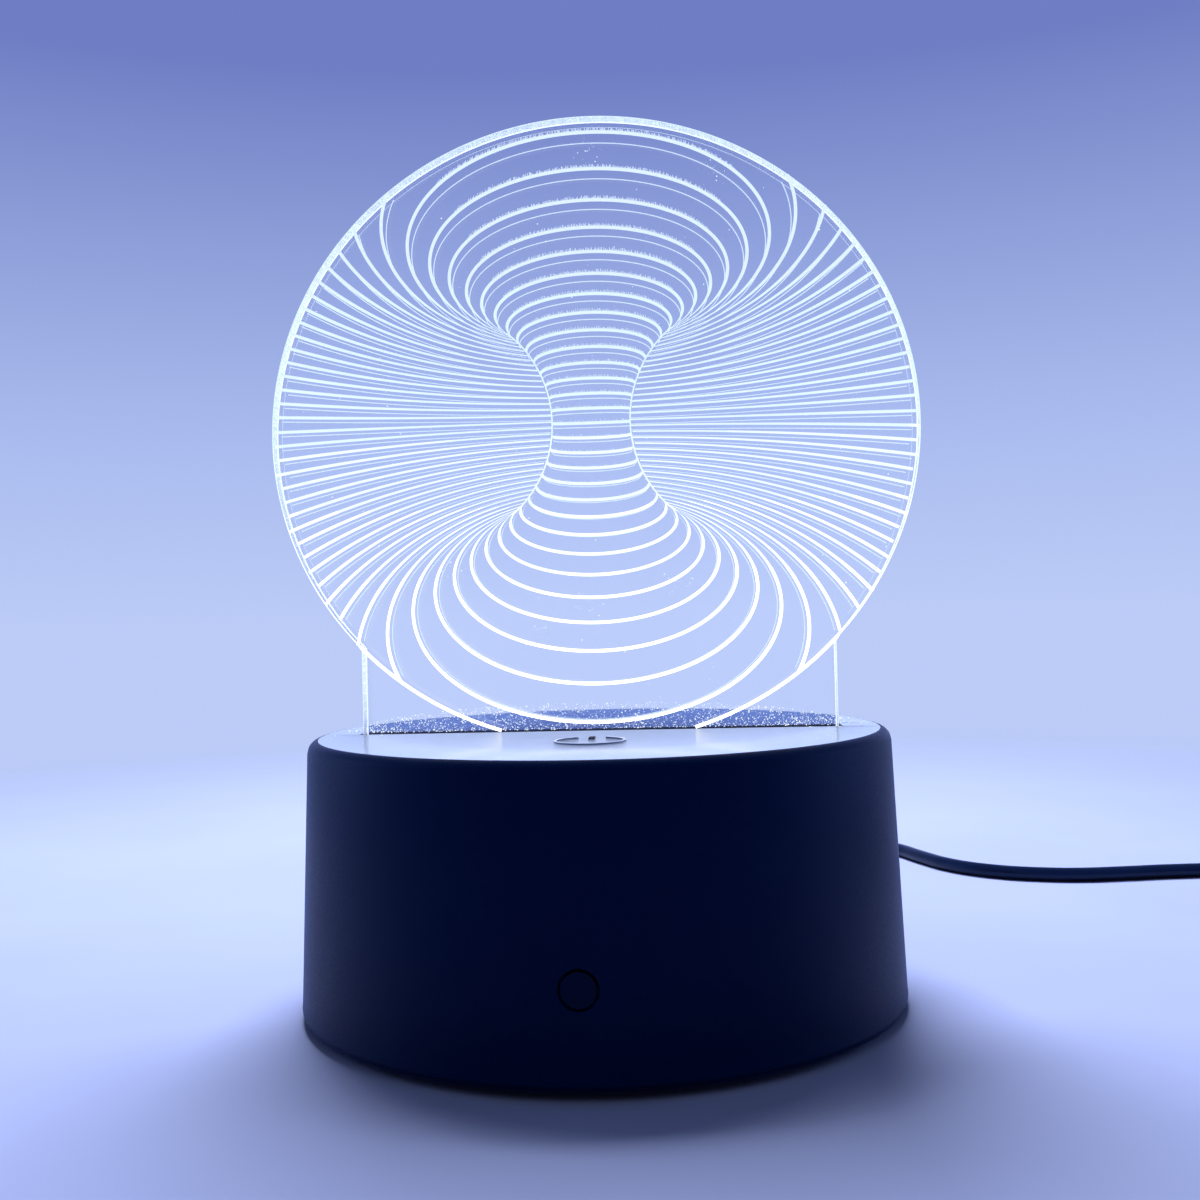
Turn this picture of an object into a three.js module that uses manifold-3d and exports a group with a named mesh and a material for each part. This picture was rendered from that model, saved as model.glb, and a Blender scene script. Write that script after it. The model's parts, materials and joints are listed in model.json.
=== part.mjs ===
// Illusion lamp: an engraved clear plate standing in the slot of a round touch base.
// Millimetres, +Z up, origin on the table under the middle of the base.
// The plate faces -Y, and the lead leaves the back of the base along +Y.

import * as THREE from 'three';
import { mergeVertices } from 'three/addons/utils/BufferGeometryUtils.js';
import Module from 'manifold-3d';

const wasm = await Module();
wasm.setup();

// Clearances shared by all pieces
const fitGap = 0.3;
const cutOverrun = 1;
const weldDistance = 0.0001;

// Base shell, which goes round the corners of the battery bay
const baseHeight = 39;
const baseTaper = 1.5;
const bayCornerRoom = 2.744;
const shellWall = 2;
const topThickness = 2.2;
const topEdgeFillet = 1.6;
const bottomEdgeFillet = 1.2;
const coverBossRadius = 3.5;
const coverBossInset = 3.47;
const coverBossAngle = THREE.MathUtils.degToRad(55);
const boardBossRadius = 2.8;

// Rubber feet and bottom cover
const footRadius = 3.5;
const footEdge = 1.18;
const footRecess = 1;
const footStand = 0.8;
const footFillet = 0.5;
const coverThickness = 2.4;
const counterboreDepth = 1.3;
const fingerNotchHalfWidth = 5;
const fingerNotchReach = 1.8;

// Battery bay for three round cells side by side
const cellCount = 3;
const cellDiameter = 14.5;
const cellLength = 50.5;
const cellGap = 0.6;
const springRoom = 5;
const buttonRoom = 2;
const bayWall = 1.4;
const bayRib = 1.2;
const bayRibHeight = 3;
const bayRibEndRoom = 8.75;
const contactThickness = 0.4;
const contactWidth = 9;
const contactHeight = 8.5;
const contactNeckWidth = 3;
const contactNeckRise = 1;
const buttonRadius = 2;
const buttonDepth = 0.8;
const batterySpringLength = 6.6;
const batterySpringRootRadius = 3.4;
const batterySpringTipRadius = 2.1;
const batterySpringTurns = 4;
const batterySpringWire = 0.7;

// Battery door
const doorThickness = 1.4;
const doorLip = 1;
const tabThickness = 1;
const tabWidth = 5;
const tabReach = 1.6;
const tabRiser = 1.2;
const tabLift = 0.6;
const tabWindowRise = 0.7;
const latchHalfWidth = 4;
const latchHeight = 2.6;
const latchNose = 0.5;
const latchNoseHeight = 0.8;
const gripSlotHalfWidth = 5.5;
const gripSlotWidth = 1;
const gripSlotInset = 6;

// Acrylic plate: an upright oval disc on a wide stem, its lowest point just below the base's top
const plateThickness = 4;
const discHalfWidth = 47.6;
const discHalfHeight = 46;
const discSink = 2;
const slotMargin = 7.2;
const plateEdgeBevel = 0.15;

// White channel that guides the stem over the light strip
const channelWall = 2.3;
const channelEndWall = 1.9;
const seatOverlap = 1.8;
const seatHeight = 2.4;
const lugRadius = 3;
const lugThickness = 2.6;
const lugStandOff = 0.7;
const lugInset = 8.8;

// Light strip, in the room between the battery bay and the stem
const stripRise = 5.7;
const ledCount = 6;
const ledEndRoom = 8.55;
const ledLength = 3.5;
const ledWidth = 2.8;
const ledHeight = 1.9;
const ledBoardInset = 0.8;
const ledBoardHalfWidth = 4.2;
const ledBoardThickness = 1;

// Control board, touch spring and remote control receiver
const symbolFromEdge = 24.5;
const controlBoardHalfWidth = 14;
const controlBoardFrontRoom = 8.8;
const controlBoardGap = 0.7;
const controlBoardThickness = 1.2;
const controlScrewSideInset = 3.5;
const controlScrewFrontInset = 3;
const chipLength = 5;
const chipWidth = 4;
const chipHeight = 1.5;
const chipInset = 9.5;
const touchSpringHeight = 5.6;
const touchSpringRadius = 3.4;
const touchSpringTurns = 4;
const touchSpringWire = 0.5;
const receiverHeight = 12.8;
const receiverHalfWidth = 2.9;
const receiverDepth = 3.4;
const receiverHalfHeight = 3.3;
const receiverDomeRadius = 2;
const pocketWall = 1;
const windowRadius = 2.15;
const windowFlangeRadius = 2.8;
const windowFlange = 0.6;
const windowSetBack = 0.1;

// Printed touch symbol
const symbolRingRadius = 4.7;
const symbolLine = 0.42;
const symbolOpening = THREE.MathUtils.degToRad(50);
const symbolBarWidth = 0.8;
const symbolBarLength = 2.6;
const printThickness = 0.1;

// Power socket and its board
const socketHeight = 8.5;
const socketHalfWidth = 4.05;
const socketHalfHeight = 1.5;
const socketWall = 0.3;
const socketLength = 5;
const socketSetBack = 1.4;
const socketTongueHalfWidth = 2.6;
const socketTongueHalfHeight = 0.3;
const socketTongueLength = 3.5;
const powerBoardHalfWidth = 9;
const powerBoardSetBack = 1.17;
const powerBoardGap = 2.65;
const powerBoardThickness = 1;
const powerScrewSideInset = 2.6;
const powerScrewFrontInset = 3.5;
const powerPostRadius = 2.2;

// Screws
const screwShankRadius = 1.1;
const screwHeadRadius = 2;
const screwHeadHeight = 1.2;
const coverScrewLength = 7;
const stripScrewBiteShare = 0.54;
const controlScrewLength = 5.2;
const powerScrewLength = 4.4;
const recessWidth = 0.5;
const recessLength = 2.2;
const recessDepth = 0.6;

// Hook-up leads inside the base
const hookupRadius = 0.8;

// Plug at the lamp end of the lead
const plugShellHalfWidth = 3.4;
const plugShellHalfHeight = 0.9;
const plugShellWall = 0.3;
const plugShellLength = 4.9;
const plugNoseHalfWidth = 5.2;
const plugNoseHalfHeight = 3;
const plugNoseLength = 3.9;
const plugNoseGap = 0.5;
const plugBodyHalfWidth = 5.6;
const plugBodyHalfHeight = 3.6;
const plugBodyLength = 14;
const plugCornerRadius = 2;
const reliefRootRadius = 2.6;
const reliefTipRadius = 1.9;
const reliefLength = 12;
const reliefRibs = 4;
const reliefGroove = 0.35;
const grooveMouthShare = 0.3;
const grooveFloorShare = 0.15;

// Lead: a thin round power lead, its coil and its tie
const cableDiameter = 2.8;
const turnGap = 0.6;
const coilTurns = 9;
const climbTurns = 0.5;
const coilLayers = 4;
const coilMidRadius = 16;
const coilCentreX = 148;
const coilCentreY = 60.9;
const coilSteps = 24;
const coilSides = 6;
const tieThickness = 0.5;
const tieWidth = 5;
const tieAngle = THREE.MathUtils.degToRad(200);

// Plug at the far end of the lead
const farBodyHalfWidth = 7.7;
const farBodyHalfHeight = 3.8;
const farBodyLength = 34;
const farCornerRadius = 1.8;
const farShellHalfWidth = 6;
const farShellHalfHeight = 2.25;
const farShellWall = 0.35;
const farShellLength = 18.6;
const farTongueHalfWidth = 5.3;
const farTongueThickness = 1.7;
const farReliefLength = 9;

// Counts of faces round the curved pieces
const shellSides = 72;
const bossSides = 16;
const screwSides = 12;
const reliefSides = 12;
const discSteps = 44;
const springSteps = 8;
const springSides = 5;
const cornerSteps = 3;

// Battery bay and door
const coverTop = footStand + coverThickness;
const doorTop = footStand + doorThickness;
const cellPitch = cellDiameter + cellGap;
const bayHalfLength = (cellLength + springRoom + buttonRoom) / 2;
const bayHalfWidth = (cellCount * cellDiameter + (cellCount + 1) * cellGap) / 2;
const bayOutLength = bayHalfLength + bayWall;
const bayOutWidth = bayHalfWidth + bayWall;
const cellAxisHeight = doorTop + cellGap + cellDiameter / 2;
const bayTop = cellAxisHeight + cellDiameter / 2 + cellGap;
const bayRoof = bayTop + bayWall;
const hingeX = -(bayHalfLength + doorLip);
const tabAcross = cellPitch / 2;

// Shell, cover and what lies on their circles
const baseRadius = Math.hypot(bayOutLength, bayOutWidth) + bayCornerRoom + shellWall;
const baseTopRadius = baseRadius - baseTaper;
const topUnderside = baseHeight - topThickness;
const coverRadius = Math.min(innerRadiusAt(footStand), innerRadiusAt(coverTop)) - fitGap;
const coverBossCircle = innerRadiusAt(coverTop) - coverBossInset;
const footCircle = coverRadius - footRadius - footEdge;

// Light strip, channel and plate, from the bay's roof upwards
const stripBottom = bayRoof + stripRise;
const stripTop = stripBottom + ledBoardThickness;
const stemBottom = stripTop + seatHeight;
const stemHalfWidth = baseTopRadius - slotMargin;
const discCentreHeight = baseHeight + discHalfHeight - discSink;
const channelHalfThickness = plateThickness / 2 + fitGap + channelWall;
const channelHalfLength = stemHalfWidth + fitGap + channelEndWall;
const lugAlong = stemHalfWidth - lugInset;
const lugAcross = channelHalfThickness + lugStandOff + lugRadius;
const lugTop = stripTop + lugThickness;
const stripScrewBite = (topUnderside - lugTop) * stripScrewBiteShare;
const stripScrewLength = ledBoardThickness + lugThickness + stripScrewBite;
const ledBoardHalfLength = stemHalfWidth - ledBoardInset;
const ledPitch = 2 * (stemHalfWidth - ledEndRoom) / (ledCount - 1);

// Control board under the symbol
const symbolFromMiddle = baseTopRadius - symbolFromEdge;
const controlBoardTop = topUnderside - touchSpringHeight;
const controlBoardBottom = controlBoardTop - controlBoardThickness;
const controlBoardFront = innerRadiusAt(controlBoardTop) - controlBoardFrontRoom;
const controlBoardBack = lugAcross + lugRadius + controlBoardGap;
const controlScrewAlong = controlBoardHalfWidth - controlScrewSideInset;
const controlScrewFront = controlBoardFront - controlScrewFrontInset;
const chipFromMiddle = controlBoardFront - chipInset;

// Power socket, its board, and the plug in it
const socketMouth = innerRadiusAt(socketHeight) - socketSetBack;
const socketBackWall = socketMouth - socketLength + socketWall;
const powerBoardTop = socketHeight - socketHalfHeight;
const powerBoardBack = socketMouth - powerBoardSetBack;
const powerBoardFront = bayOutWidth + powerBoardGap;
const powerScrewAlong = powerBoardHalfWidth - powerScrewSideInset;
const powerScrewBack = powerBoardFront + powerScrewFrontInset;
const plugFace = socketMouth + plugNoseGap;
const plugEnd = plugFace + plugNoseLength + plugBodyLength;
const cableRadius = cableDiameter / 2;
const turnPitch = cableDiameter + turnGap;

const colours = {
  baseBlack: { color: 0x0c0f1a, roughness: 0.55, metalness: 0 },
  coverBlack: { color: 0x10121a, roughness: 0.65, metalness: 0 },
  rubber: { color: 0x18181a, roughness: 0.9, metalness: 0 },
  steel: { color: 0xb4b6ba, roughness: 0.35, metalness: 1 },
  print: { color: 0x20222a, roughness: 0.6, metalness: 0 },
  whitePlastic: { color: 0xe8eaee, roughness: 0.5, metalness: 0 },
  board: { color: 0x1d5a34, roughness: 0.5, metalness: 0 },
  stripBoard: { color: 0xe4e6e2, roughness: 0.5, metalness: 0 },
  led: { color: 0xf4f2d8, roughness: 0.4, metalness: 0 },
  chip: { color: 0x151515, roughness: 0.5, metalness: 0 },
  smoked: { color: 0x0a0710, roughness: 0.15, metalness: 0 },
  nickel: { color: 0xc8c9cc, roughness: 0.3, metalness: 1 },
  acrylic: { color: 0xdfe8ff, roughness: 0.05, metalness: 0, transparent: true, opacity: 0.35 },
  wire: { color: 0xb02020, roughness: 0.6, metalness: 0 },
  cable: { color: 0x0d0e16, roughness: 0.5, metalness: 0 },
};

function finish(name) {
  return new THREE.MeshStandardMaterial(colours[name]);
}

function outerRadiusAt(height) {
  return baseRadius + (baseTopRadius - baseRadius) * height / baseHeight;
}

function innerRadiusAt(height) {
  return outerRadiusAt(height) - shellWall;
}

// Solids and their geometry

function toSolid(geometry) {
  const bare = geometry.clone();
  bare.deleteAttribute('normal');
  bare.deleteAttribute('uv');
  const welded = mergeVertices(bare, weldDistance);
  return new wasm.Manifold(new wasm.Mesh({
    numProp: 3,
    vertProperties: new Float32Array(welded.attributes.position.array),
    triVerts: new Uint32Array(welded.index.array),
  }));
}

function toGeometry(solid) {
  const mesh = solid.getMesh();
  const geometry = new THREE.BufferGeometry();
  geometry.setAttribute('position', new THREE.BufferAttribute(mesh.vertProperties, 3));
  geometry.setIndex(new THREE.BufferAttribute(mesh.triVerts, 1));
  geometry.computeVertexNormals();
  return geometry;
}

function block(low, high) {
  const size = high.map((value, i) => value - low[i]);
  const geometry = new THREE.BoxGeometry(...size);
  geometry.translate(...low.map((value, i) => value + size[i] / 2));
  return geometry;
}

// A turned body about +Z from [radius, height] pairs that start and end on the axis
function turned(profile, sides) {
  const points = profile.map(([radius, height]) => new THREE.Vector2(radius, height));
  return new THREE.LatheGeometry(points, sides).rotateX(Math.PI / 2);
}

function rod(radius, bottom, top, x = 0, y = 0, sides = bossSides) {
  const profile = [[0, bottom], [radius, bottom], [radius, top], [0, top]];
  return turned(profile, sides).translate(x, y, 0);
}

// The same rod lying along +Y, from front to back
function lyingRod(radius, front, back, x, z, sides = bossSides) {
  return rod(radius, front, back, 0, 0, sides).rotateX(-Math.PI / 2).translate(x, 0, z);
}

function quarterArc(centreRadius, centreHeight, fillet, from, to) {
  const points = [];
  for (let i = 0; i <= cornerSteps; i++) {
    const angle = from + (to - from) * i / cornerSteps;
    points.push([centreRadius + fillet * Math.cos(angle), centreHeight + fillet * Math.sin(angle)]);
  }
  return points;
}

function roundedRectangle(halfWidth, halfHeight, corner) {
  const shape = new THREE.Shape();
  const insideWidth = halfWidth - corner;
  const insideHeight = halfHeight - corner;
  shape.moveTo(halfWidth, -insideHeight);
  shape.absarc(insideWidth, insideHeight, corner, 0, Math.PI / 2);
  shape.absarc(-insideWidth, insideHeight, corner, Math.PI / 2, Math.PI);
  shape.absarc(-insideWidth, -insideHeight, corner, Math.PI, Math.PI * 1.5);
  shape.absarc(insideWidth, -insideHeight, corner, Math.PI * 1.5, Math.PI * 2);
  return shape;
}

// A rounded bar along +Y, from front to back
function roundedBar(halfWidth, halfHeight, corner, front, back, x, z) {
  const shape = roundedRectangle(halfWidth, halfHeight, corner);
  const options = { depth: back - front, bevelEnabled: false, curveSegments: cornerSteps };
  return new THREE.ExtrudeGeometry(shape, options).rotateX(-Math.PI / 2).translate(x, front, z);
}

function upward(shape, bottom, top, segments = cornerSteps) {
  const options = { depth: top - bottom, bevelEnabled: false, curveSegments: segments };
  return new THREE.ExtrudeGeometry(shape, options).translate(0, 0, bottom);
}

// One closed tube of flat-sided rings through a list of points
function ringTube(points, radius, sides) {
  const positions = [];
  const triangles = [];
  const last = points.length - 1;
  const side = new THREE.Vector3();
  const lift = new THREE.Vector3();
  points.forEach((point, i) => {
    const along = points[Math.min(i + 1, last)].clone().sub(points[Math.max(i - 1, 0)]).normalize();
    if (i === 0) {
      side.set(0, 0, 1).cross(along);
      if (side.lengthSq() < weldDistance) side.set(1, 0, 0);
    }
    side.addScaledVector(along, -side.dot(along)).normalize();
    lift.copy(along).cross(side);
    for (let k = 0; k < sides; k++) {
      const angle = 2 * Math.PI * k / sides;
      const corner = point.clone();
      corner.addScaledVector(side, radius * Math.cos(angle));
      corner.addScaledVector(lift, radius * Math.sin(angle));
      positions.push(...corner.toArray());
    }
  });
  for (let i = 0; i < last; i++) {
    for (let k = 0; k < sides; k++) {
      const a = i * sides + k;
      const b = i * sides + (k + 1) % sides;
      triangles.push(a, b, b + sides, a, b + sides, a + sides);
    }
  }
  const end = last * sides;
  for (let k = 1; k < sides - 1; k++) {
    triangles.push(0, k + 1, k, end, end + k, end + k + 1);
  }
  const geometry = new THREE.BufferGeometry();
  geometry.setAttribute('position', new THREE.Float32BufferAttribute(positions, 3));
  geometry.setIndex(triangles);
  geometry.computeVertexNormals();
  return geometry;
}

// A plain round lead through a list of places
function leadTube(places, radius, sides, steps) {
  const path = new THREE.CatmullRomCurve3(places.map((place) => new THREE.Vector3(...place)));
  const section = new THREE.Shape();
  section.absarc(0, 0, radius, 0, 2 * Math.PI);
  const options = { steps, extrudePath: path, bevelEnabled: false, curveSegments: sides / 2 };
  return new THREE.ExtrudeGeometry(section, options);
}

// A spring wound along +Z, with its first turn at the bottom
function springGeometry(length, rootRadius, tipRadius, turns, wire) {
  const points = [];
  const count = turns * springSteps;
  for (let i = 0; i <= count; i++) {
    const share = i / count;
    const angle = 2 * Math.PI * turns * share;
    const radius = rootRadius + (tipRadius - rootRadius) * share;
    const height = wire / 2 + (length - wire) * share;
    points.push(new THREE.Vector3(radius * Math.cos(angle), radius * Math.sin(angle), height));
  }
  return ringTube(points, wire / 2, springSides);
}

// A screw along +Z with its head below the origin and a cross recess in the head
function screwGeometry(length) {
  const tip = screwShankRadius;
  const profile = [
    [0, -screwHeadHeight],
    [screwHeadRadius, -screwHeadHeight],
    [screwHeadRadius, 0],
    [screwShankRadius, 0],
    [screwShankRadius, length - tip],
    [0, length],
  ];
  const face = -screwHeadHeight;
  let screw = toSolid(turned(profile, screwSides));
  for (const [x, y] of [[recessLength, recessWidth], [recessWidth, recessLength]]) {
    const cut = block([-x / 2, -y / 2, face - cutOverrun], [x / 2, y / 2, face + recessDepth]);
    screw = screw.subtract(toSolid(cut));
  }
  return toGeometry(screw);
}

const lamp = new THREE.Group();
const base = new THREE.Group();
const door = new THREE.Group();
const lead = new THREE.Group();
lamp.add(base, door, lead);

function addPiece(group, name, geometry, colour) {
  const mesh = new THREE.Mesh(geometry, finish(colour));
  mesh.name = name;
  group.add(mesh);
  return mesh;
}

function onCircle(radius, angle) {
  return [radius * Math.cos(angle), radius * Math.sin(angle)];
}

const coverScrewAngles = [
  coverBossAngle,
  Math.PI - coverBossAngle,
  Math.PI + coverBossAngle,
  -coverBossAngle,
];
const coverScrewPlaces = coverScrewAngles.map((angle) => onCircle(coverBossCircle, angle));
const stripScrewPlaces = [[lugAlong, -lugAcross], [-lugAlong, lugAcross]];
const controlScrewPlaces = [-1, 1].map((side) => [side * controlScrewAlong, -controlScrewFront]);
const powerScrewPlaces = [-1, 1].map((side) => [side * powerScrewAlong, powerScrewBack]);
const footPlaces = [0, 1, 2, 3].map((quarter) => onCircle(footCircle, quarter * Math.PI / 2));

// Depths of the remote control receiver behind the front wall
const pocketBack = receiverDepth + windowFlange + 3 * fitGap;
const windowInside = -(innerRadiusAt(receiverHeight) - fitGap);
const receiverFront = windowInside + windowFlange + fitGap;
const pocketFloor = receiverHeight - receiverHalfHeight - fitGap;

function shellGeometry() {
  const bottomCentre = outerRadiusAt(footStand) - bottomEdgeFillet;
  const topCentre = outerRadiusAt(baseHeight) - topEdgeFillet;
  const profile = [
    [0, topUnderside],
    [innerRadiusAt(topUnderside), topUnderside],
    [innerRadiusAt(footStand), footStand],
    ...quarterArc(bottomCentre, footStand + bottomEdgeFillet, bottomEdgeFillet, -Math.PI / 2, 0),
    ...quarterArc(topCentre, baseHeight - topEdgeFillet, topEdgeFillet, 0, Math.PI / 2),
    [0, baseHeight],
  ];
  const intoTop = topUnderside + topThickness / 2;
  const pilotRadius = screwShankRadius + fitGap;
  let shell = toSolid(turned(profile, shellSides));
  for (const [x, y] of coverScrewPlaces) {
    shell = shell.add(toSolid(rod(coverBossRadius, coverTop, intoTop, x, y)));
  }
  for (const [x, y] of stripScrewPlaces) {
    shell = shell.add(toSolid(rod(boardBossRadius, lugTop, intoTop, x, y)));
  }
  for (const [x, y] of controlScrewPlaces) {
    shell = shell.add(toSolid(rod(boardBossRadius, controlBoardTop, intoTop, x, y)));
  }

  // Pocket that holds the receiver behind its window
  const pocketHalfWidth = receiverHalfWidth + fitGap;
  const pocketOutside = pocketHalfWidth + pocketWall;
  const pocketRear = windowInside + pocketBack;
  const pocketTop = receiverHeight + receiverHalfHeight;
  const intoWall = windowInside - shellWall / 2;
  const lowPocket = [-pocketOutside, intoWall, pocketFloor - pocketWall];
  const highPocket = [pocketOutside, pocketRear + pocketWall, pocketTop];
  shell = shell.add(toSolid(block(lowPocket, highPocket)));
  const lowCavity = [-pocketHalfWidth, windowInside, pocketFloor];
  const highCavity = [pocketHalfWidth, pocketRear, pocketTop + cutOverrun];
  shell = shell.subtract(toSolid(block(lowCavity, highCavity)));
  const holeRadius = windowRadius + fitGap;
  const holeFront = -baseRadius - cutOverrun;
  const windowHole = lyingRod(holeRadius, holeFront, windowInside + fitGap, 0, receiverHeight);
  shell = shell.subtract(toSolid(windowHole));

  // Slot for the plate's stem
  const slotHalfLength = stemHalfWidth + fitGap;
  const slotHalfWidth = plateThickness / 2 + fitGap;
  const lowSlot = [-slotHalfLength, -slotHalfWidth, topUnderside - cutOverrun];
  const highSlot = [slotHalfLength, slotHalfWidth, baseHeight + cutOverrun];
  shell = shell.subtract(toSolid(block(lowSlot, highSlot)));

  // Mouth for the power plug
  const mouthWidth = plugNoseHalfWidth + 2 * fitGap;
  const mouthHeight = plugNoseHalfHeight + 2 * fitGap;
  const mouthBack = baseRadius + cutOverrun;
  const mouth = roundedBar(
    mouthWidth, mouthHeight, plugCornerRadius, socketMouth, mouthBack, 0, socketHeight);
  shell = shell.subtract(toSolid(mouth));

  // Pilot holes of the screws
  const pilots = [
    ...coverScrewPlaces.map((place) => [place, coverTop, coverScrewLength]),
    ...stripScrewPlaces.map((place) => [place, lugTop, stripScrewBite + ledBoardThickness]),
    ...controlScrewPlaces.map((place) => [place, controlBoardTop, controlScrewLength]),
  ];
  for (const [[x, y], start, depth] of pilots) {
    const pilot = rod(pilotRadius, start - cutOverrun, start + depth, x, y);
    shell = shell.subtract(toSolid(pilot));
  }
  return toGeometry(shell);
}

function coverGeometry() {
  let cover = toSolid(rod(coverRadius, footStand, coverTop, 0, 0, shellSides));
  const bayHigh = [bayOutLength, bayOutWidth, bayRoof];
  cover = cover.add(toSolid(block([-bayOutLength, -bayOutWidth, footStand], bayHigh)));
  for (const [x, y] of powerScrewPlaces) {
    const postTop = powerBoardTop - powerBoardThickness;
    cover = cover.add(toSolid(rod(powerPostRadius, footStand + coverThickness / 2, postTop, x, y)));
  }

  // Battery bay, the step for its door, and the finger notch beside the latch
  const bayLow = [-bayHalfLength, -bayHalfWidth, footStand - cutOverrun];
  cover = cover.subtract(toSolid(block(bayLow, [bayHalfLength, bayHalfWidth, bayTop])));
  const ribHalfLength = bayHalfLength - bayRibEndRoom;
  for (let i = 1; i < cellCount; i++) {
    const y = (i - cellCount / 2) * cellPitch;
    const low = [-ribHalfLength, y - bayRib / 2, bayTop - bayRibHeight];
    const high = [ribHalfLength, y + bayRib / 2, bayTop + bayWall / 2];
    cover = cover.add(toSolid(block(low, high)));
  }
  const stepLength = bayHalfLength + doorLip + fitGap;
  const stepWidth = bayHalfWidth + doorLip + fitGap;
  const stepLow = [-stepLength, -stepWidth, footStand - cutOverrun];
  cover = cover.subtract(toSolid(block(stepLow, [stepLength, stepWidth, doorTop])));
  const notchLow = [bayHalfLength, -fingerNotchHalfWidth, footStand - cutOverrun];
  const notchHigh = [stepLength + fingerNotchReach, fingerNotchHalfWidth, doorTop];
  cover = cover.subtract(toSolid(block(notchLow, notchHigh)));

  // Windows that the door's tabs reach into
  const tabTop = coverTop + tabLift + tabThickness;
  for (const sign of [-1, 1]) {
    const y = sign * tabAcross;
    const halfWidth = tabWidth / 2 + fitGap;
    const low = [-bayOutLength - cutOverrun, y - halfWidth, coverTop];
    const high = [-bayHalfLength + cutOverrun, y + halfWidth, tabTop + tabWindowRise];
    cover = cover.subtract(toSolid(block(low, high)));
  }

  // Slots in the bay's roof for the necks of the two end contacts
  const neckHalf = contactNeckWidth / 2 + fitGap;
  for (const side of [-1, 1]) {
    const wallX = side * bayHalfLength;
    const inX = side * (bayHalfLength - contactThickness - fitGap);
    const y = side * cellPitch;
    const low = [Math.min(wallX, inX), y - neckHalf, bayTop - cutOverrun];
    const high = [Math.max(wallX, inX), y + neckHalf, bayRoof + cutOverrun];
    cover = cover.subtract(toSolid(block(low, high)));
  }

  // Recesses for the feet, and holes for the screws
  for (const [x, y] of footPlaces) {
    const recess = rod(footRadius + fitGap, footStand - cutOverrun, footStand + footRecess, x, y);
    cover = cover.subtract(toSolid(recess));
  }
  for (const [x, y] of coverScrewPlaces) {
    const counterbore = footStand + counterboreDepth;
    const sink = rod(screwHeadRadius + fitGap, footStand - cutOverrun, counterbore, x, y);
    const hole = rod(screwShankRadius + fitGap, footStand, coverTop + cutOverrun, x, y);
    cover = cover.subtract(toSolid(sink));
    cover = cover.subtract(toSolid(hole));
  }
  for (const [x, y] of powerScrewPlaces) {
    const bottom = powerBoardTop - powerScrewLength - fitGap;
    cover = cover.subtract(toSolid(rod(screwShankRadius + fitGap, bottom, powerBoardTop, x, y)));
  }
  return toGeometry(cover);
}

function footGeometry() {
  const top = footStand + footRecess;
  const edge = footRadius - footFillet;
  const profile = [[0, 0], [edge, 0], [footRadius, footFillet], [footRadius, top], [0, top]];
  return turned(profile, bossSides);
}

addPiece(base, 'base_shell', shellGeometry(), 'baseBlack');
addPiece(base, 'bottom_cover', coverGeometry(), 'coverBlack');
footPlaces.forEach(([x, y], i) => {
  addPiece(base, `rubber_foot_${i + 1}`, footGeometry(), 'rubber').position.set(x, y, 0);
});
coverScrewPlaces.forEach(([x, y], i) => {
  const screw = addPiece(base, `cover_screw_${i + 1}`, screwGeometry(coverScrewLength), 'steel');
  screw.position.set(x, y, footStand + counterboreDepth);
});

// Printed power symbol on the top, open towards the plate
function symbolRing() {
  const shape = new THREE.Shape();
  const from = Math.PI / 2 + symbolOpening / 2;
  const to = Math.PI / 2 - symbolOpening / 2 + 2 * Math.PI;
  shape.absarc(0, 0, symbolRingRadius + symbolLine / 2, from, to, false);
  shape.absarc(0, 0, symbolRingRadius - symbolLine / 2, to, from, true);
  return upward(shape, baseHeight, baseHeight + printThickness, bossSides);
}

function symbolBar() {
  const halfWidth = symbolBarWidth / 2;
  const back = symbolRingRadius + symbolLine / 2;
  const low = [-halfWidth, back - symbolBarLength, baseHeight];
  return block(low, [halfWidth, back, baseHeight + printThickness]);
}

addPiece(base, 'touch_symbol_ring', symbolRing(), 'print').position.set(0, -symbolFromMiddle, 0);
addPiece(base, 'touch_symbol_bar', symbolBar(), 'print').position.set(0, -symbolFromMiddle, 0);

// White channel under the slot, with a seat for each end of the stem
function channelGeometry() {
  const low = [-channelHalfLength, -channelHalfThickness, stripTop];
  let channel = toSolid(block(low, [channelHalfLength, channelHalfThickness, topUnderside]));
  for (const [x, y] of stripScrewPlaces) {
    channel = channel.add(toSolid(rod(lugRadius, stripTop, lugTop, x, y)));
    const webLow = [x - lugRadius, Math.min(0, y), stripTop];
    const webHigh = [x + lugRadius, Math.max(0, y), lugTop];
    channel = channel.add(toSolid(block(webLow, webHigh)));
  }
  const slotHalfLength = stemHalfWidth + fitGap;
  const slotHalfWidth = plateThickness / 2 + fitGap;
  const wellHalfLength = stemHalfWidth - seatOverlap;
  const slotLow = [-slotHalfLength, -slotHalfWidth, stemBottom];
  const slotHigh = [slotHalfLength, slotHalfWidth, topUnderside + cutOverrun];
  const wellLow = [-wellHalfLength, -slotHalfWidth, stripTop - cutOverrun];
  const wellHigh = [wellHalfLength, slotHalfWidth, stemBottom + cutOverrun];
  channel = channel.subtract(toSolid(block(slotLow, slotHigh)));
  channel = channel.subtract(toSolid(block(wellLow, wellHigh)));
  for (const [x, y] of stripScrewPlaces) {
    const hole = rod(screwShankRadius + fitGap, stripTop - cutOverrun, lugTop + cutOverrun, x, y);
    channel = channel.subtract(toSolid(hole));
  }
  return toGeometry(channel);
}

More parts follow.
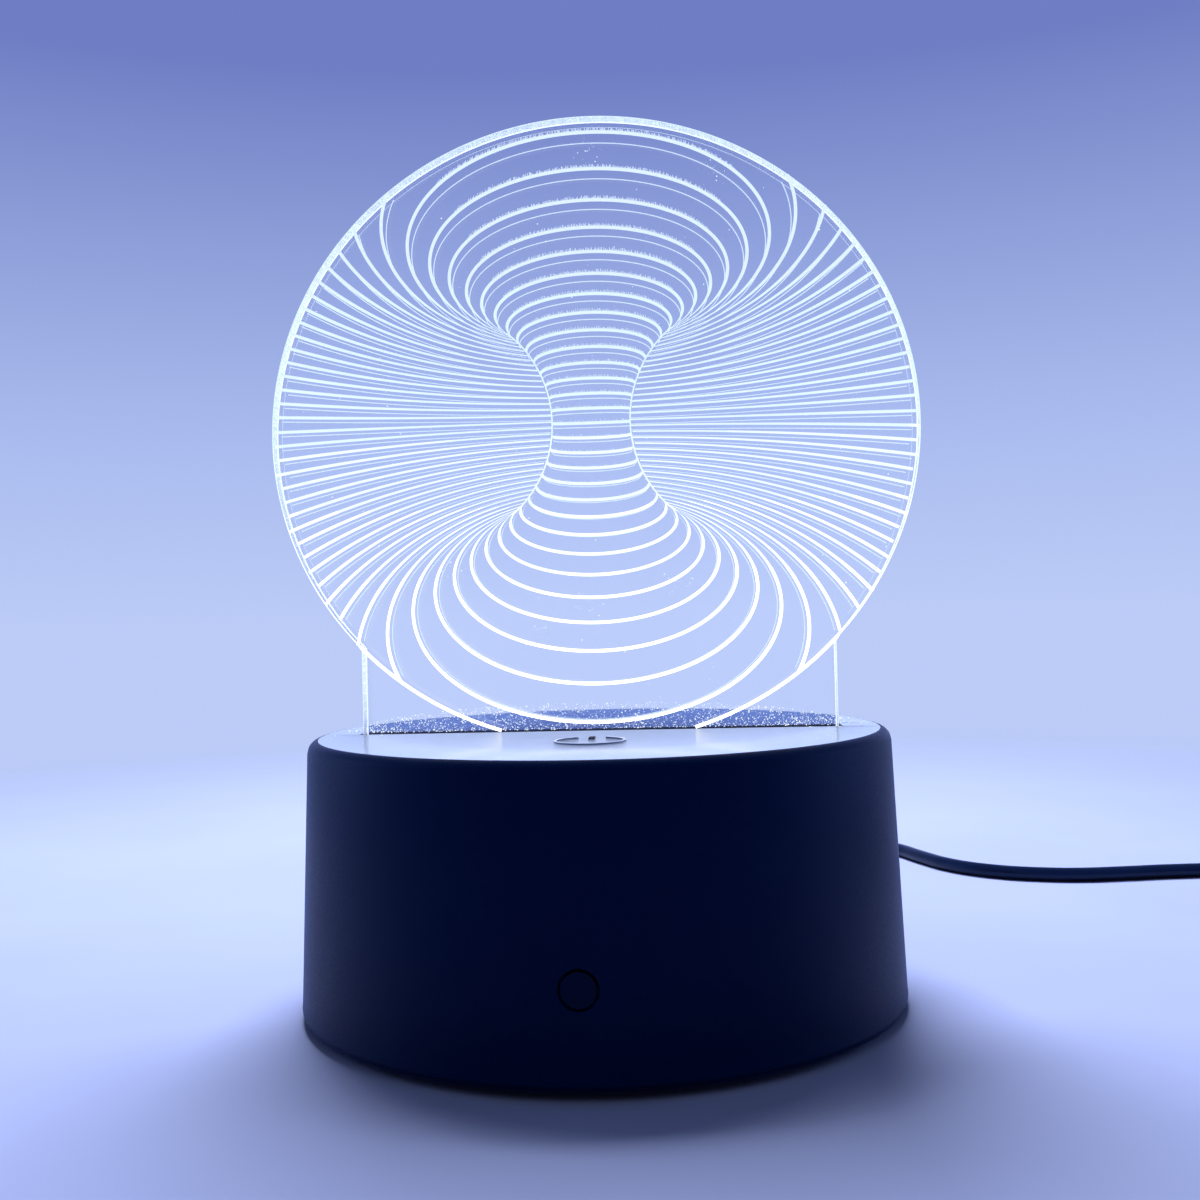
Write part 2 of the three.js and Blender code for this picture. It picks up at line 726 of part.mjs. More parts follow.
function stripBoardGeometry() {
  const low = [-ledBoardHalfLength, -ledBoardHalfWidth, stripBottom];
  let board = toSolid(block(low, [ledBoardHalfLength, ledBoardHalfWidth, stripTop]));
  for (const [x, y] of stripScrewPlaces) {
    board = board.add(toSolid(rod(lugRadius, stripBottom, stripTop, x, y)));
    const webLow = [x - lugRadius, Math.min(0, y), stripBottom];
    const webHigh = [x + lugRadius, Math.max(0, y), stripTop];
    board = board.add(toSolid(block(webLow, webHigh)));
  }
  for (const [x, y] of stripScrewPlaces) {
    const hole = rod(screwShankRadius + fitGap, stripBottom - cutOverrun, stripTop + cutOverrun, x, y);
    board = board.subtract(toSolid(hole));
  }
  return toGeometry(board);
}

addPiece(base, 'plate_channel', channelGeometry(), 'whitePlastic');
addPiece(base, 'led_board', stripBoardGeometry(), 'stripBoard');
for (let i = 0; i < ledCount; i++) {
  const led = new THREE.BoxGeometry(ledLength, ledWidth, ledHeight);
  const x = (i - (ledCount - 1) / 2) * ledPitch;
  addPiece(base, `led_${i + 1}`, led, 'led').position.set(x, 0, stripTop + ledHeight / 2);
}
stripScrewPlaces.forEach(([x, y], i) => {
  const screw = addPiece(base, `led_board_screw_${i + 1}`, screwGeometry(stripScrewLength), 'steel');
  screw.position.set(x, y, stripBottom);
});

// Control board under the touch symbol
function controlBoardGeometry() {
  const low = [-controlBoardHalfWidth, -controlBoardFront, controlBoardBottom];
  const high = [controlBoardHalfWidth, -controlBoardBack, controlBoardTop];
  let board = toSolid(block(low, high));
  for (const [x, y] of controlScrewPlaces) {
    const bottom = controlBoardBottom - cutOverrun;
    const hole = rod(screwShankRadius + fitGap, bottom, controlBoardTop + cutOverrun, x, y);
    board = board.subtract(toSolid(hole));
  }
  return toGeometry(board);
}

addPiece(base, 'control_board', controlBoardGeometry(), 'board');
controlScrewPlaces.forEach(([x, y], i) => {
  const length = controlScrewLength + controlBoardThickness - fitGap;
  const screw = addPiece(base, `control_board_screw_${i + 1}`, screwGeometry(length), 'steel');
  screw.position.set(x, y, controlBoardBottom);
});
const chip = new THREE.BoxGeometry(chipLength, chipWidth, chipHeight);
const chipZ = controlBoardBottom - chipHeight / 2;
addPiece(base, 'touch_chip', chip, 'chip').position.set(0, -chipFromMiddle, chipZ);
const touchSpringLength = touchSpringHeight - 2 * fitGap;
const touchSpring = springGeometry(
  touchSpringLength, touchSpringRadius, touchSpringRadius, touchSpringTurns, touchSpringWire);
addPiece(base, 'touch_spring', touchSpring, 'nickel')
  .position.set(0, -symbolFromMiddle, controlBoardTop + fitGap);

// Remote control receiver and its smoked window in the front wall
function windowGeometry() {
  const front = -(outerRadiusAt(receiverHeight) - windowSetBack);
  const flangeBack = windowInside + windowFlange;
  const lens = lyingRod(windowRadius, front, windowInside + windowFlange / 2, 0, receiverHeight);
  const flange = lyingRod(windowFlangeRadius, windowInside, flangeBack, 0, receiverHeight);
  return toGeometry(toSolid(lens).add(toSolid(flange)));
}

function receiverGeometry() {
  const bodyFront = receiverFront + receiverDomeRadius / 2;
  const low = [-receiverHalfWidth, bodyFront, receiverHeight - receiverHalfHeight];
  const high = [receiverHalfWidth, receiverFront + receiverDepth, receiverHeight + receiverHalfHeight];
  const dome = new THREE.SphereGeometry(receiverDomeRadius, bossSides, bossSides / 2);
  dome.translate(0, receiverFront + receiverDomeRadius, receiverHeight);
  return toGeometry(toSolid(block(low, high)).add(toSolid(dome)));
}

addPiece(base, 'ir_window', windowGeometry(), 'smoked');
addPiece(base, 'ir_receiver', receiverGeometry(), 'chip');

// Power board, standing on two posts of the bottom cover behind the plug's mouth
function powerBoardGeometry() {
  const bottom = powerBoardTop - powerBoardThickness;
  const low = [-powerBoardHalfWidth, powerBoardFront, bottom];
  let board = toSolid(block(low, [powerBoardHalfWidth, powerBoardBack, powerBoardTop]));
  for (const [x, y] of powerScrewPlaces) {
    const hole = rod(screwShankRadius + fitGap, bottom - cutOverrun, powerBoardTop + cutOverrun, x, y);
    board = board.subtract(toSolid(hole));
  }
  return toGeometry(board);
}

function hollowBar(halfWidth, halfHeight, wall, front, back, innerFront, innerBack, x, z) {
  const outer = block([x - halfWidth, front, z - halfHeight], [x + halfWidth, back, z + halfHeight]);
  const inWidth = halfWidth - wall;
  const inHeight = halfHeight - wall;
  const inner = block([x - inWidth, innerFront, z - inHeight], [x + inWidth, innerBack, z + inHeight]);
  return toGeometry(toSolid(outer).subtract(toSolid(inner)));
}

addPiece(base, 'power_board', powerBoardGeometry(), 'board');
powerScrewPlaces.forEach(([x, y], i) => {
  const screw = addPiece(base, `power_board_screw_${i + 1}`, screwGeometry(powerScrewLength), 'steel');
  screw.rotation.x = Math.PI;
  screw.position.set(x, y, powerBoardTop);
});
const socketFront = socketMouth - socketLength;
addPiece(base, 'power_socket', hollowBar(
  socketHalfWidth, socketHalfHeight, socketWall, socketFront, socketMouth,
  socketBackWall, socketMouth + cutOverrun, 0, socketHeight), 'nickel');
addPiece(base, 'power_socket_tongue', block(
  [-socketTongueHalfWidth, socketBackWall, socketHeight - socketTongueHalfHeight],
  [socketTongueHalfWidth, socketBackWall + socketTongueLength, socketHeight + socketTongueHalfHeight],
), 'chip');

// Battery contacts: end plates with a neck through the roof, and plates that bridge two cells.
// side is -1 or +1 for the end of the bay, and each plate serves the cells listed.
function contactPlate(side, cells, buttonCell, hasNeck) {
  const wallX = side * bayHalfLength;
  const faceX = side * (bayHalfLength - contactThickness);
  const lowCell = Math.min(...cells) * cellPitch;
  const highCell = Math.max(...cells) * cellPitch;
  const bottom = cellAxisHeight - contactHeight / 2;
  const top = cellAxisHeight + contactHeight / 2;
  const xs = [Math.min(wallX, faceX), Math.max(wallX, faceX)];
  const low = [xs[0], lowCell - contactWidth / 2, bottom];
  let plate = toSolid(block(low, [xs[1], highCell + contactWidth / 2, top]));
  if (hasNeck) {
    const neckTop = bayRoof + contactNeckRise;
    const neckLow = [xs[0], lowCell - contactNeckWidth / 2, cellAxisHeight];
    plate = plate.add(toSolid(block(neckLow, [xs[1], lowCell + contactNeckWidth / 2, neckTop])));
  }
  if (buttonCell !== null) {
    const button = rod(buttonRadius, 0, contactThickness / 2 + buttonDepth).rotateY(-side * Math.PI / 2);
    button.translate(faceX + side * contactThickness / 2, buttonCell * cellPitch, cellAxisHeight);
    plate = plate.add(toSolid(button));
  }
  return toGeometry(plate);
}

addPiece(base, 'battery_plate_negative', contactPlate(-1, [-1], null, true), 'nickel');
addPiece(base, 'battery_plate_positive', contactPlate(1, [1], 1, true), 'nickel');
addPiece(base, 'battery_bridge_1', contactPlate(1, [-1, 0], -1, false), 'nickel');
addPiece(base, 'battery_bridge_2', contactPlate(-1, [0, 1], 0, false), 'nickel');
const batterySprings = [[-1, -1], [1, 0], [-1, 1]];
batterySprings.forEach(([side, cell], i) => {
  const wire = springGeometry(
    batterySpringLength, batterySpringRootRadius, batterySpringTipRadius,
    batterySpringTurns, batterySpringWire);
  const spring = addPiece(base, `battery_spring_${i + 1}`, wire, 'nickel');
  spring.rotation.y = -side * Math.PI / 2;
  const rootX = side * (bayHalfLength - contactThickness - fitGap);
  spring.position.set(rootX, cell * cellPitch, cellAxisHeight);
});

// Hook-up leads, each soldered square to its two ends.
// rise is 1 where a lead starts upwards, and all of them end upwards.
const hookupSteps = 18;
const hookupStub = 1.4;
const boardEdge = hookupRadius + fitGap;
const belowControl = controlBoardBottom - fitGap;
const aboveBay = bayRoof + 2 * hookupRadius;
const neckTop = bayRoof + contactNeckRise + fitGap;
const solderRow = -(controlBoardBack + chipWidth);
const receiverLeadY = receiverFront + receiverDepth - boardEdge;
const hookupLeads = {
  led_lead: {
    from: [lugRadius, -controlBoardBack - boardEdge, belowControl],
    rise: -1,
    via: [[lugRadius, -lugAcross, aboveBay + hookupRadius]],
    to: [lugRadius, -ledBoardHalfWidth + boardEdge, stripBottom - fitGap],
  },
  ir_lead: {
    from: [0, receiverLeadY, receiverHeight + receiverHalfHeight + fitGap],
    rise: 1,
    via: [[0, receiverLeadY, (receiverHeight + controlBoardBottom) / 2]],
    to: [0, -controlScrewFront, belowControl],
  },
  power_lead: {
    from: [0, powerBoardFront + boardEdge, powerBoardTop + fitGap],
    rise: 1,
    via: [
      [0, powerBoardFront + boardEdge, bayTop],
      [0, bayHalfWidth, aboveBay],
      [-chipLength, channelHalfThickness, aboveBay],
      [-chipLength * 2, -controlBoardBack, aboveBay + hookupRadius],
    ],
    to: [-chipLength * 2, solderRow, belowControl],
  },
  battery_lead_negative: {
    from: [-bayHalfLength + contactThickness / 2, -cellPitch, neckTop],
    rise: 1,
    via: [
      [-bayHalfLength + contactWidth, -cellPitch - hookupRadius, neckTop + 2 * hookupStub],
      [-controlBoardHalfWidth - boardEdge, -chipFromMiddle, (aboveBay + belowControl) / 2],
    ],
    to: [-controlBoardHalfWidth + 2 * boardEdge, -chipFromMiddle, belowControl],
  },
  battery_lead_positive: {
    from: [bayHalfLength - contactThickness / 2, cellPitch, neckTop],
    rise: 1,
    via: [
      [bayHalfLength - contactWidth, cellPitch - contactWidth / 2, neckTop + hookupStub],
      [chipLength * 3, -channelHalfThickness, aboveBay + hookupRadius],
    ],
    to: [chipLength * 2, solderRow, belowControl],
  },
};
for (const [name, { from, rise, via, to }] of Object.entries(hookupLeads)) {
  const leave = [from[0], from[1], from[2] + rise * hookupStub];
  const arrive = [to[0], to[1], to[2] - hookupStub];
  const places = [from, leave, ...via, arrive, to];
  addPiece(base, name, leadTube(places, hookupRadius, coilSides, hookupSteps), 'wire');
}

// Battery door, measured from the edge that it tips about
function doorGeometry() {
  const length = 2 * (bayHalfLength + doorLip);
  const halfWidth = bayHalfWidth + doorLip;
  let panel = toSolid(block([0, -halfWidth, 0], [length, halfWidth, doorThickness]));
  const riserX = doorLip + fitGap;
  const tabBottom = coverTop - footStand + tabLift;
  const tabTop = tabBottom + tabThickness;
  for (const sign of [-1, 1]) {
    const low = sign * tabAcross - tabWidth / 2;
    const high = sign * tabAcross + tabWidth / 2;
    const riser = block([riserX, low, doorThickness / 2], [riserX + tabRiser, high, tabTop]);
    const tab = block([-tabReach, low, tabBottom], [riserX + tabRiser, high, tabTop]);
    panel = panel.add(toSolid(riser)).add(toSolid(tab));
  }
  const latchOut = length - doorLip - fitGap;
  const latchIn = latchOut - latchNose - tabRiser;
  const latchTop = doorThickness + latchHeight;
  const arm = block(
    [latchIn, -latchHalfWidth, doorThickness / 2], [latchOut - latchNose, latchHalfWidth, latchTop]);
  const noseBottom = latchTop - latchNoseHeight;
  const nose = block([latchIn, -latchHalfWidth, noseBottom], [latchOut, latchHalfWidth, latchTop]);
  panel = panel.add(toSolid(arm)).add(toSolid(nose));

  // Slots on both sides of the latch that let it flex
  for (const sign of [-1, 1]) {
    const inner = sign * gripSlotHalfWidth;
    const outer = sign * (gripSlotHalfWidth + gripSlotWidth);
    const low = [length - gripSlotInset, Math.min(inner, outer), -cutOverrun];
    const high = [length + cutOverrun, Math.max(inner, outer), doorThickness + cutOverrun];
    panel = panel.subtract(toSolid(block(low, high)));
  }
  return toGeometry(panel);
}

door.position.set(hingeX, 0, footStand);
addPiece(door, 'battery_door', doorGeometry(), 'coverBlack');

// Acrylic plate: the stem's sides run up into the oval disc
function plateGeometry() {
  const reach = 1 - (stemHalfWidth / discHalfWidth) ** 2;
  const joinHeight = discCentreHeight - discHalfHeight * Math.sqrt(reach);
  const joinAngle = Math.asin((joinHeight - discCentreHeight) / discHalfHeight);
  const inset = plateEdgeBevel;
  const shape = new THREE.Shape();
  shape.moveTo(-stemHalfWidth + inset, stemBottom + inset);
  shape.lineTo(stemHalfWidth - inset, stemBottom + inset);
  shape.lineTo(stemHalfWidth - inset, joinHeight);
  shape.absellipse(
    0, discCentreHeight, discHalfWidth - inset, discHalfHeight - inset, joinAngle, Math.PI - joinAngle);
  shape.lineTo(-stemHalfWidth + inset, joinHeight);
  const options = {
    depth: plateThickness - 2 * inset,
    bevelEnabled: true,
    bevelThickness: inset,
    bevelSize: inset,
    bevelSegments: 1,
    curveSegments: discSteps,
  };
  const plate = new THREE.ExtrudeGeometry(shape, options);
  return plate.rotateX(Math.PI / 2).translate(0, plateThickness / 2 - inset, 0);
}

addPiece(lamp, 'acrylic_plate', plateGeometry(), 'acrylic');

// Plug at the lamp end of the lead
const plugShellTip = plugFace - plugShellLength;
addPiece(lead, 'plug_shell', hollowBar(
  plugShellHalfWidth, plugShellHalfHeight, plugShellWall, plugShellTip, plugFace,
  plugShellTip - cutOverrun, plugFace - plugShellWall, 0, socketHeight), 'nickel');

function plugBodyGeometry() {
  const shoulder = plugFace + plugNoseLength;
  const nose = roundedBar(
    plugNoseHalfWidth, plugNoseHalfHeight, plugCornerRadius,
    plugFace, shoulder + cutOverrun, 0, socketHeight);
  const body = roundedBar(
    plugBodyHalfWidth, plugBodyHalfHeight, plugCornerRadius, shoulder, plugEnd, 0, socketHeight);
  return toGeometry(toSolid(nose).add(toSolid(body)));
}

// A tapered relief with grooves round it, along +Y from its root
function reliefGeometry(length, rootRadius, tipRadius) {
  const profile = [[0, 0], [rootRadius, 0]];
  const pitch = length / (reliefRibs + 1);
  for (let i = 1; i <= reliefRibs; i++) {
    const radius = rootRadius + (tipRadius - rootRadius) * i / (reliefRibs + 1);
    profile.push([radius, (i - grooveMouthShare) * pitch]);
    profile.push([radius - reliefGroove, (i - grooveFloorShare) * pitch]);
    profile.push([radius - reliefGroove, (i + grooveFloorShare) * pitch]);
    profile.push([radius, (i + grooveMouthShare) * pitch]);
  }
  profile.push([tipRadius, length], [0, length]);
  return turned(profile, reliefSides).rotateX(-Math.PI / 2);
}

addPiece(lead, 'plug_body', plugBodyGeometry(), 'cable');
const plugRelief = reliefGeometry(reliefLength, reliefRootRadius, reliefTipRadius);
addPiece(lead, 'plug_strain_relief', plugRelief, 'cable').position.set(0, plugEnd, socketHeight);

// Coil: layers that spiral in and out, each climb in the half turn where the spiral turns back
const layerTurns = (coilTurns - (coilLayers - 1) * climbTurns) / coilLayers;
const spiralTurns = layerTurns + climbTurns;
const coilOuterRadius = coilMidRadius + turnPitch * layerTurns / 2;
const coilBottom = tieThickness + fitGap + cableRadius;

function coilPoint(turn) {
  const wave = turn + climbTurns / 2;
  const phase = wave % (2 * spiralTurns);
  const depth = Math.min(phase, 2 * spiralTurns - phase) - climbTurns / 2;
  const radius = coilOuterRadius - turnPitch * depth;
  const nearest = Math.round(wave / spiralTurns);
  const pastTurning = wave - nearest * spiralTurns + climbTurns / 2;
  const climb = THREE.MathUtils.smoothstep(pastTurning, 0, climbTurns);
  const layer = Math.max(nearest - 1 + climb, 0);
  const height = coilBottom + Math.min(layer, coilLayers - 1) * turnPitch;
  const [x, y] = onCircle(radius, Math.PI / 2 - 2 * Math.PI * turn);
  return new THREE.Vector3(coilCentreX + x, coilCentreY + y, height);
}

const coilCore = [];
for (let i = 0; i <= coilTurns * coilSteps; i++) coilCore.push(coilPoint(i / coilSteps));
const coilHeadingIn = coilCore[1].clone().sub(coilCore[0]).setZ(0).normalize();
const coilHeadingOut = coilCore.at(-1).clone().sub(coilCore.at(-2)).setZ(0).normalize();
const coilStart = coilCore[0].clone().addScaledVector(coilHeadingIn, -cableDiameter);
const coilEnd = coilCore.at(-1).clone().addScaledVector(coilHeadingOut, cableDiameter);
const coilPoints = [coilStart, ...coilCore, coilEnd];

// Least gap of the coil to itself, between turns more than half a turn apart
function leastCoilGap() {
  let least = Infinity;
  for (let i = 0; i < coilCore.length; i++) {
    for (let k = i + coilSteps / 2; k < coilCore.length; k++) {
      least = Math.min(least, coilCore[i].distanceTo(coilCore[k]));
    }
  }
  return least - cableDiameter;
}

console.log(`least gap between turns of the coil: ${leastCoilGap().toFixed(3)} mm`);

// Free lead: over the table behind the base, round to the right and into the coil
const leadExit = plugEnd + reliefLength + fitGap;
const cableRoute = [
  [0, 76, 8.2],
  [0.3, 84, 6.2],
  [1.2, 92, 3.6],
  [3.2, 100, 1.9],
  [7, 108, 1.4],
  [13.5, 115.5, 1.4],
  [22.5, 121, 1.4],
  [33.5, 122.8, 1.4],
  [44.5, 120.2, 1.4],
  [53, 114, 1.4],
  [58.8, 106, 1.4],
  [62.6, 96.4, 1.4],
  [67.2, 87.2, 1.4],
  [73.8, 80.9, 1.4],
  [81.6, 77.5, 1.4],
  [90, 76.3, 1.4],
  [98.8, 77.3, 1.4],
  [107.6, 78.8, 1.4],
  [116.4, 79.7, 1.4],
  [125.2, 80.1, 1.5],
  [134, 80.3, 1.8],
];
const tailRoute = [
  [155.5, 80.1, 12.4],
  [161.2, 78.8, 12.1],
  [166.6, 75.4, 11.1],
  [170.8, 70.4, 9.4],
  [173.3, 64.6, 7.3],
  [174.1, 58.8, 5.3],
  [174.2, 53.4, 4.1],
];
const farPlugX = 174.2;
const farReliefStart = 49.4;

function straightIn(point, heading, distance) {
  return point.clone().addScaledVector(heading, distance).toArray();
}

const cableSteps = 44;
const tailSteps = 12;
const cableSides = 8;
const cablePlaces = [
  [0, leadExit, socketHeight],
  ...cableRoute,
  straightIn(coilStart, coilHeadingIn, -fitGap - cableDiameter),
  straightIn(coilStart, coilHeadingIn, -fitGap),
];
const tailPlaces = [
  straightIn(coilEnd, coilHeadingOut, fitGap),
  ...tailRoute,
  [farPlugX, farReliefStart + fitGap, farBodyHalfHeight],
];
addPiece(lead, 'usb_cable', leadTube(cablePlaces, cableRadius, cableSides, cableSteps), 'cable');
addPiece(lead, 'cable_coil', ringTube(coilPoints, cableRadius, coilSides), 'cable');
addPiece(lead, 'cable_tail', leadTube(tailPlaces, cableRadius, cableSides, tailSteps), 'cable');

// Tie round the pile of turns, fitted to the turns that pass through it
function tieGeometry() {
  let inner = Infinity;
  let outer = 0;
  const halfAngle = Math.atan2(tieWidth, coilMidRadius);
  for (const point of coilCore) {
    const angle = Math.atan2(point.y - coilCentreY, point.x - coilCentreX);
    const away = THREE.MathUtils.euclideanModulo(angle - tieAngle + Math.PI, 2 * Math.PI) - Math.PI;
    const radius = Math.hypot(point.x - coilCentreX, point.y - coilCentreY);
    if (Math.abs(away) < halfAngle) {
      inner = Math.min(inner, radius);
      outer = Math.max(outer, radius);
    }
  }
  const sagitta = outer - Math.sqrt(outer ** 2 - (tieWidth / 2) ** 2);
  const nearSide = inner - cableRadius - fitGap - sagitta;
  const farSide = outer + cableRadius + fitGap;
  const innerHalfHeight = (coilLayers - 1) * turnPitch / 2 + cableRadius + fitGap;
  const innerHalfWidth = (farSide - nearSide) / 2;
  const centreHeight = tieThickness + innerHalfHeight;
  const outerBand = roundedBar(
    innerHalfWidth + tieThickness, innerHalfHeight + tieThickness, cableRadius,
    -tieWidth / 2, tieWidth / 2, 0, 0);
  const innerBand = roundedBar(
    innerHalfWidth, innerHalfHeight, cableRadius - tieThickness,
    -tieWidth / 2 - cutOverrun, tieWidth / 2 + cutOverrun, 0, 0);
  const band = toGeometry(toSolid(outerBand).subtract(toSolid(innerBand)));
  const [x, y] = onCircle((nearSide + farSide) / 2, tieAngle);
  band.rotateZ(tieAngle).translate(coilCentreX + x, coilCentreY + y, centreHeight);
  return band;
}

addPiece(lead, 'cable_tie', tieGeometry(), 'print');

// Plug at the far end, lying on the table beside the coil
const farBodyBack = farReliefStart - farReliefLength;
const farBodyFront = farBodyBack - farBodyLength;
const farRelief = reliefGeometry(farReliefLength, reliefRootRadius, reliefTipRadius);
addPiece(lead, 'usb_strain_relief', farRelief, 'cable')
  .position.set(farPlugX, farBodyBack, farBodyHalfHeight);
addPiece(lead, 'usb_plug_body', roundedBar(
  farBodyHalfWidth, farBodyHalfHeight, farCornerRadius, farBodyFront, farBodyBack,
  farPlugX, farBodyHalfHeight), 'cable');
const farShellFront = farBodyFront - farShellLength;
addPiece(lead, 'usb_plug_shell', hollowBar(
  farShellHalfWidth, farShellHalfHeight, farShellWall, farShellFront, farBodyFront,
  farShellFront - cutOverrun, farBodyFront - farShellWall, farPlugX, farBodyHalfHeight), 'nickel');
const tongueRoot = farBodyFront - farShellWall;
const tongueTop = farBodyHalfHeight + farShellHalfHeight - farShellWall - fitGap;
addPiece(lead, 'usb_plug_tongue', block(
  [farPlugX - farTongueHalfWidth, farShellFront + farShellWall, tongueTop - farTongueThickness],
  [farPlugX + farTongueHalfWidth, tongueRoot, tongueTop],
), 'whitePlastic');

export default lamp;
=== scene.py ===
import json
import math
import random

import bmesh
import bpy
from mathutils import Matrix, Vector

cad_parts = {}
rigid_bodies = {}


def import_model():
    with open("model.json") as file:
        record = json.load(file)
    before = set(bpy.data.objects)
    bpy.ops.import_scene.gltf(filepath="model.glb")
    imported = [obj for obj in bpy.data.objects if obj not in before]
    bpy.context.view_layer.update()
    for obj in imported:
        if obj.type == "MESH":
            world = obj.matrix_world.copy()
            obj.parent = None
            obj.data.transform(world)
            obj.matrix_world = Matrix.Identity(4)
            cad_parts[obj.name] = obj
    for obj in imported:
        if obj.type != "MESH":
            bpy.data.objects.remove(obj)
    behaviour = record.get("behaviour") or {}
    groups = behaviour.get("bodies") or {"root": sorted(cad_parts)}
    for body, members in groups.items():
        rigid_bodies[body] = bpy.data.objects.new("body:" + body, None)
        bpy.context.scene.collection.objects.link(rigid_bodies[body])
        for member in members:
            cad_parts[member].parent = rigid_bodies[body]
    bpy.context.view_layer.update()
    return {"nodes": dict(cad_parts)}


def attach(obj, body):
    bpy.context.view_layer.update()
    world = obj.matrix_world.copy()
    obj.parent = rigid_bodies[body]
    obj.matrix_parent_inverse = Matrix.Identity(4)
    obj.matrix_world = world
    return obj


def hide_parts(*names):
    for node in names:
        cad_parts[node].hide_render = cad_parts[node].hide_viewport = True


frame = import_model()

mm = 0.001
scene = bpy.context.scene
scene.view_settings.view_transform = "Standard"
links = scene.collection.objects

# camera: a phone held level with the lamp, a touch to its right and tilted
lookout = {
    "azimuth": 4.0,
    "elevation": -0.55,
    "roll": -1.4,
    "target": (0.6, 0.0, 58.0),
    "distance": 194.5,
    "lens": 39.54,
}


def placeCamera():
    turn, rise = math.radians(lookout["azimuth"]), math.radians(lookout["elevation"])
    back = Vector((math.sin(turn) * math.cos(rise), -math.cos(turn) * math.cos(rise), math.sin(rise)))
    eye = (Vector(lookout["target"]) + back * lookout["distance"]) * mm
    data = bpy.data.cameras.new("phoneCamera")
    data.lens, data.sensor_width, data.sensor_fit = lookout["lens"], 36.0, "HORIZONTAL"
    data.clip_start, data.clip_end = 0.01, 20.0
    camera = bpy.data.objects.new("phoneCamera", data)
    links.link(camera)
    facing = (-back).to_track_quat("-Z", "Y").to_matrix().to_4x4()
    camera.matrix_world = Matrix.Translation(eye) @ facing @ Matrix.Rotation(
        math.radians(lookout["roll"]), 4, "Z")
    scene.camera = camera
    return eye


eye = placeCamera()
print("camera stands at", [round(v, 4) for v in eye])


# materials

def newLook(name):
    look = bpy.data.materials.new(name)
    look.use_nodes = True
    tree = look.node_tree
    return look, tree, tree.nodes["Principled BSDF"]


def setSockets(shader, sockets):
    for socket, value in sockets.items():
        shader.inputs[socket].default_value = value


def noiseOn(tree, scale, detail=3.0, roughness=0.55, squash=(1, 1, 1)):
    place = tree.nodes.new("ShaderNodeTexCoord")
    mapping = tree.nodes.new("ShaderNodeMapping")
    mapping.inputs["Scale"].default_value = squash
    noise = tree.nodes.new("ShaderNodeTexNoise")
    noise.inputs["Scale"].default_value = scale
    noise.inputs["Detail"].default_value = detail
    noise.inputs["Roughness"].default_value = roughness
    tree.links.new(place.outputs["Object"], mapping.inputs["Vector"])
    tree.links.new(mapping.outputs["Vector"], noise.inputs["Vector"])
    return noise


def between(tree, source, low, high, fromLow=0.3, fromHigh=0.7):
    span = tree.nodes.new("ShaderNodeMapRange")
    span.inputs["From Min"].default_value = fromLow
    span.inputs["From Max"].default_value = fromHigh
    span.inputs["To Min"].default_value = low
    span.inputs["To Max"].default_value = high
    tree.links.new(source, span.inputs["Value"])
    return span.outputs["Result"]


def ramped(tree, source, stops):
    ramp = tree.nodes.new("ShaderNodeValToRGB")
    while len(ramp.color_ramp.elements) < len(stops):
        ramp.color_ramp.elements.new(0.5)
    for element, (position, colour) in zip(ramp.color_ramp.elements, stops):
        element.position = position
        element.color = (*colour, 1)
    tree.links.new(source, ramp.inputs["Fac"])
    return ramp.outputs["Color"]


def mixed(tree, source, first, second, low=0.35, high=0.65):
    return ramped(tree, source, [(low, first), (high, second)])


def roughen(tree, shader, source, strength):
    # a fine bump, 0.04 mm deep
    bump = tree.nodes.new("ShaderNodeBump")
    bump.inputs["Strength"].default_value = strength
    bump.inputs["Distance"].default_value = 0.04 * mm
    tree.links.new(source, bump.inputs["Height"])
    tree.links.new(bump.outputs["Normal"], shader.inputs["Normal"])


def surface(name, first, second, blotch, grain, bump, rough=(0.4, 0.5), squash=(1, 1, 1), **sockets):
    # colour drifts with a wide noise, roughness and bump follow a fine one
    look, tree, shader = newLook(name)
    wide = noiseOn(tree, blotch, 4.0, 0.6, squash)
    fine = noiseOn(tree, grain, 2.0, 0.5, squash)
    tree.links.new(mixed(tree, wide.outputs["Fac"], first, second), shader.inputs["Base Color"])
    tree.links.new(between(tree, fine.outputs["Fac"], *rough), shader.inputs["Roughness"])
    roughen(tree, shader, fine.outputs["Fac"], bump)
    setSockets(shader, sockets)
    return look


def shellLook(name, rough, **sockets):
    # moulded satin black with a fine grain
    return surface(name, (0.0006, 0.0056, 0.0300), (0.0010, 0.0072, 0.0360), 70, 4200, 0.35, rough,
                   **sockets)


shellSide = shellLook("satinBlackSide", (0.42, 0.54), **{
    "Specular IOR Level": 0.32, "Specular Tint": (0.13, 0.34, 1.0, 1), "IOR": 1.3, "Sheen Weight": 0.16,
    "Sheen Roughness": 0.3, "Sheen Tint": (0.14, 0.30, 1.0, 1)})
shellTop = shellLook("satinBlackTop", (0.15, 0.20), **{
    "Specular IOR Level": 0.9, "Specular Tint": (0.80, 0.90, 1.0, 1), "Coat Weight": 1.0,
    "Coat Roughness": 0.13, "Coat IOR": 1.6, "Sheen Weight": 0.8, "Sheen Roughness": 0.3,
    "Sheen Tint": (0.7, 0.82, 1.0, 1)})
coverBlack = surface("matteBlackCover", (0.010, 0.011, 0.014), (0.015, 0.016, 0.020), 90, 2600,
                     0.6, (0.52, 0.66))
footRubber = surface("footRubber", (0.012, 0.012, 0.013), (0.022, 0.022, 0.024), 400, 3800,
                     0.7, (0.72, 0.88))
whitePlastic = surface("whiteChannel", (0.70, 0.71, 0.70), (0.77, 0.78, 0.77), 120, 3000,
                       0.3, (0.35, 0.48))
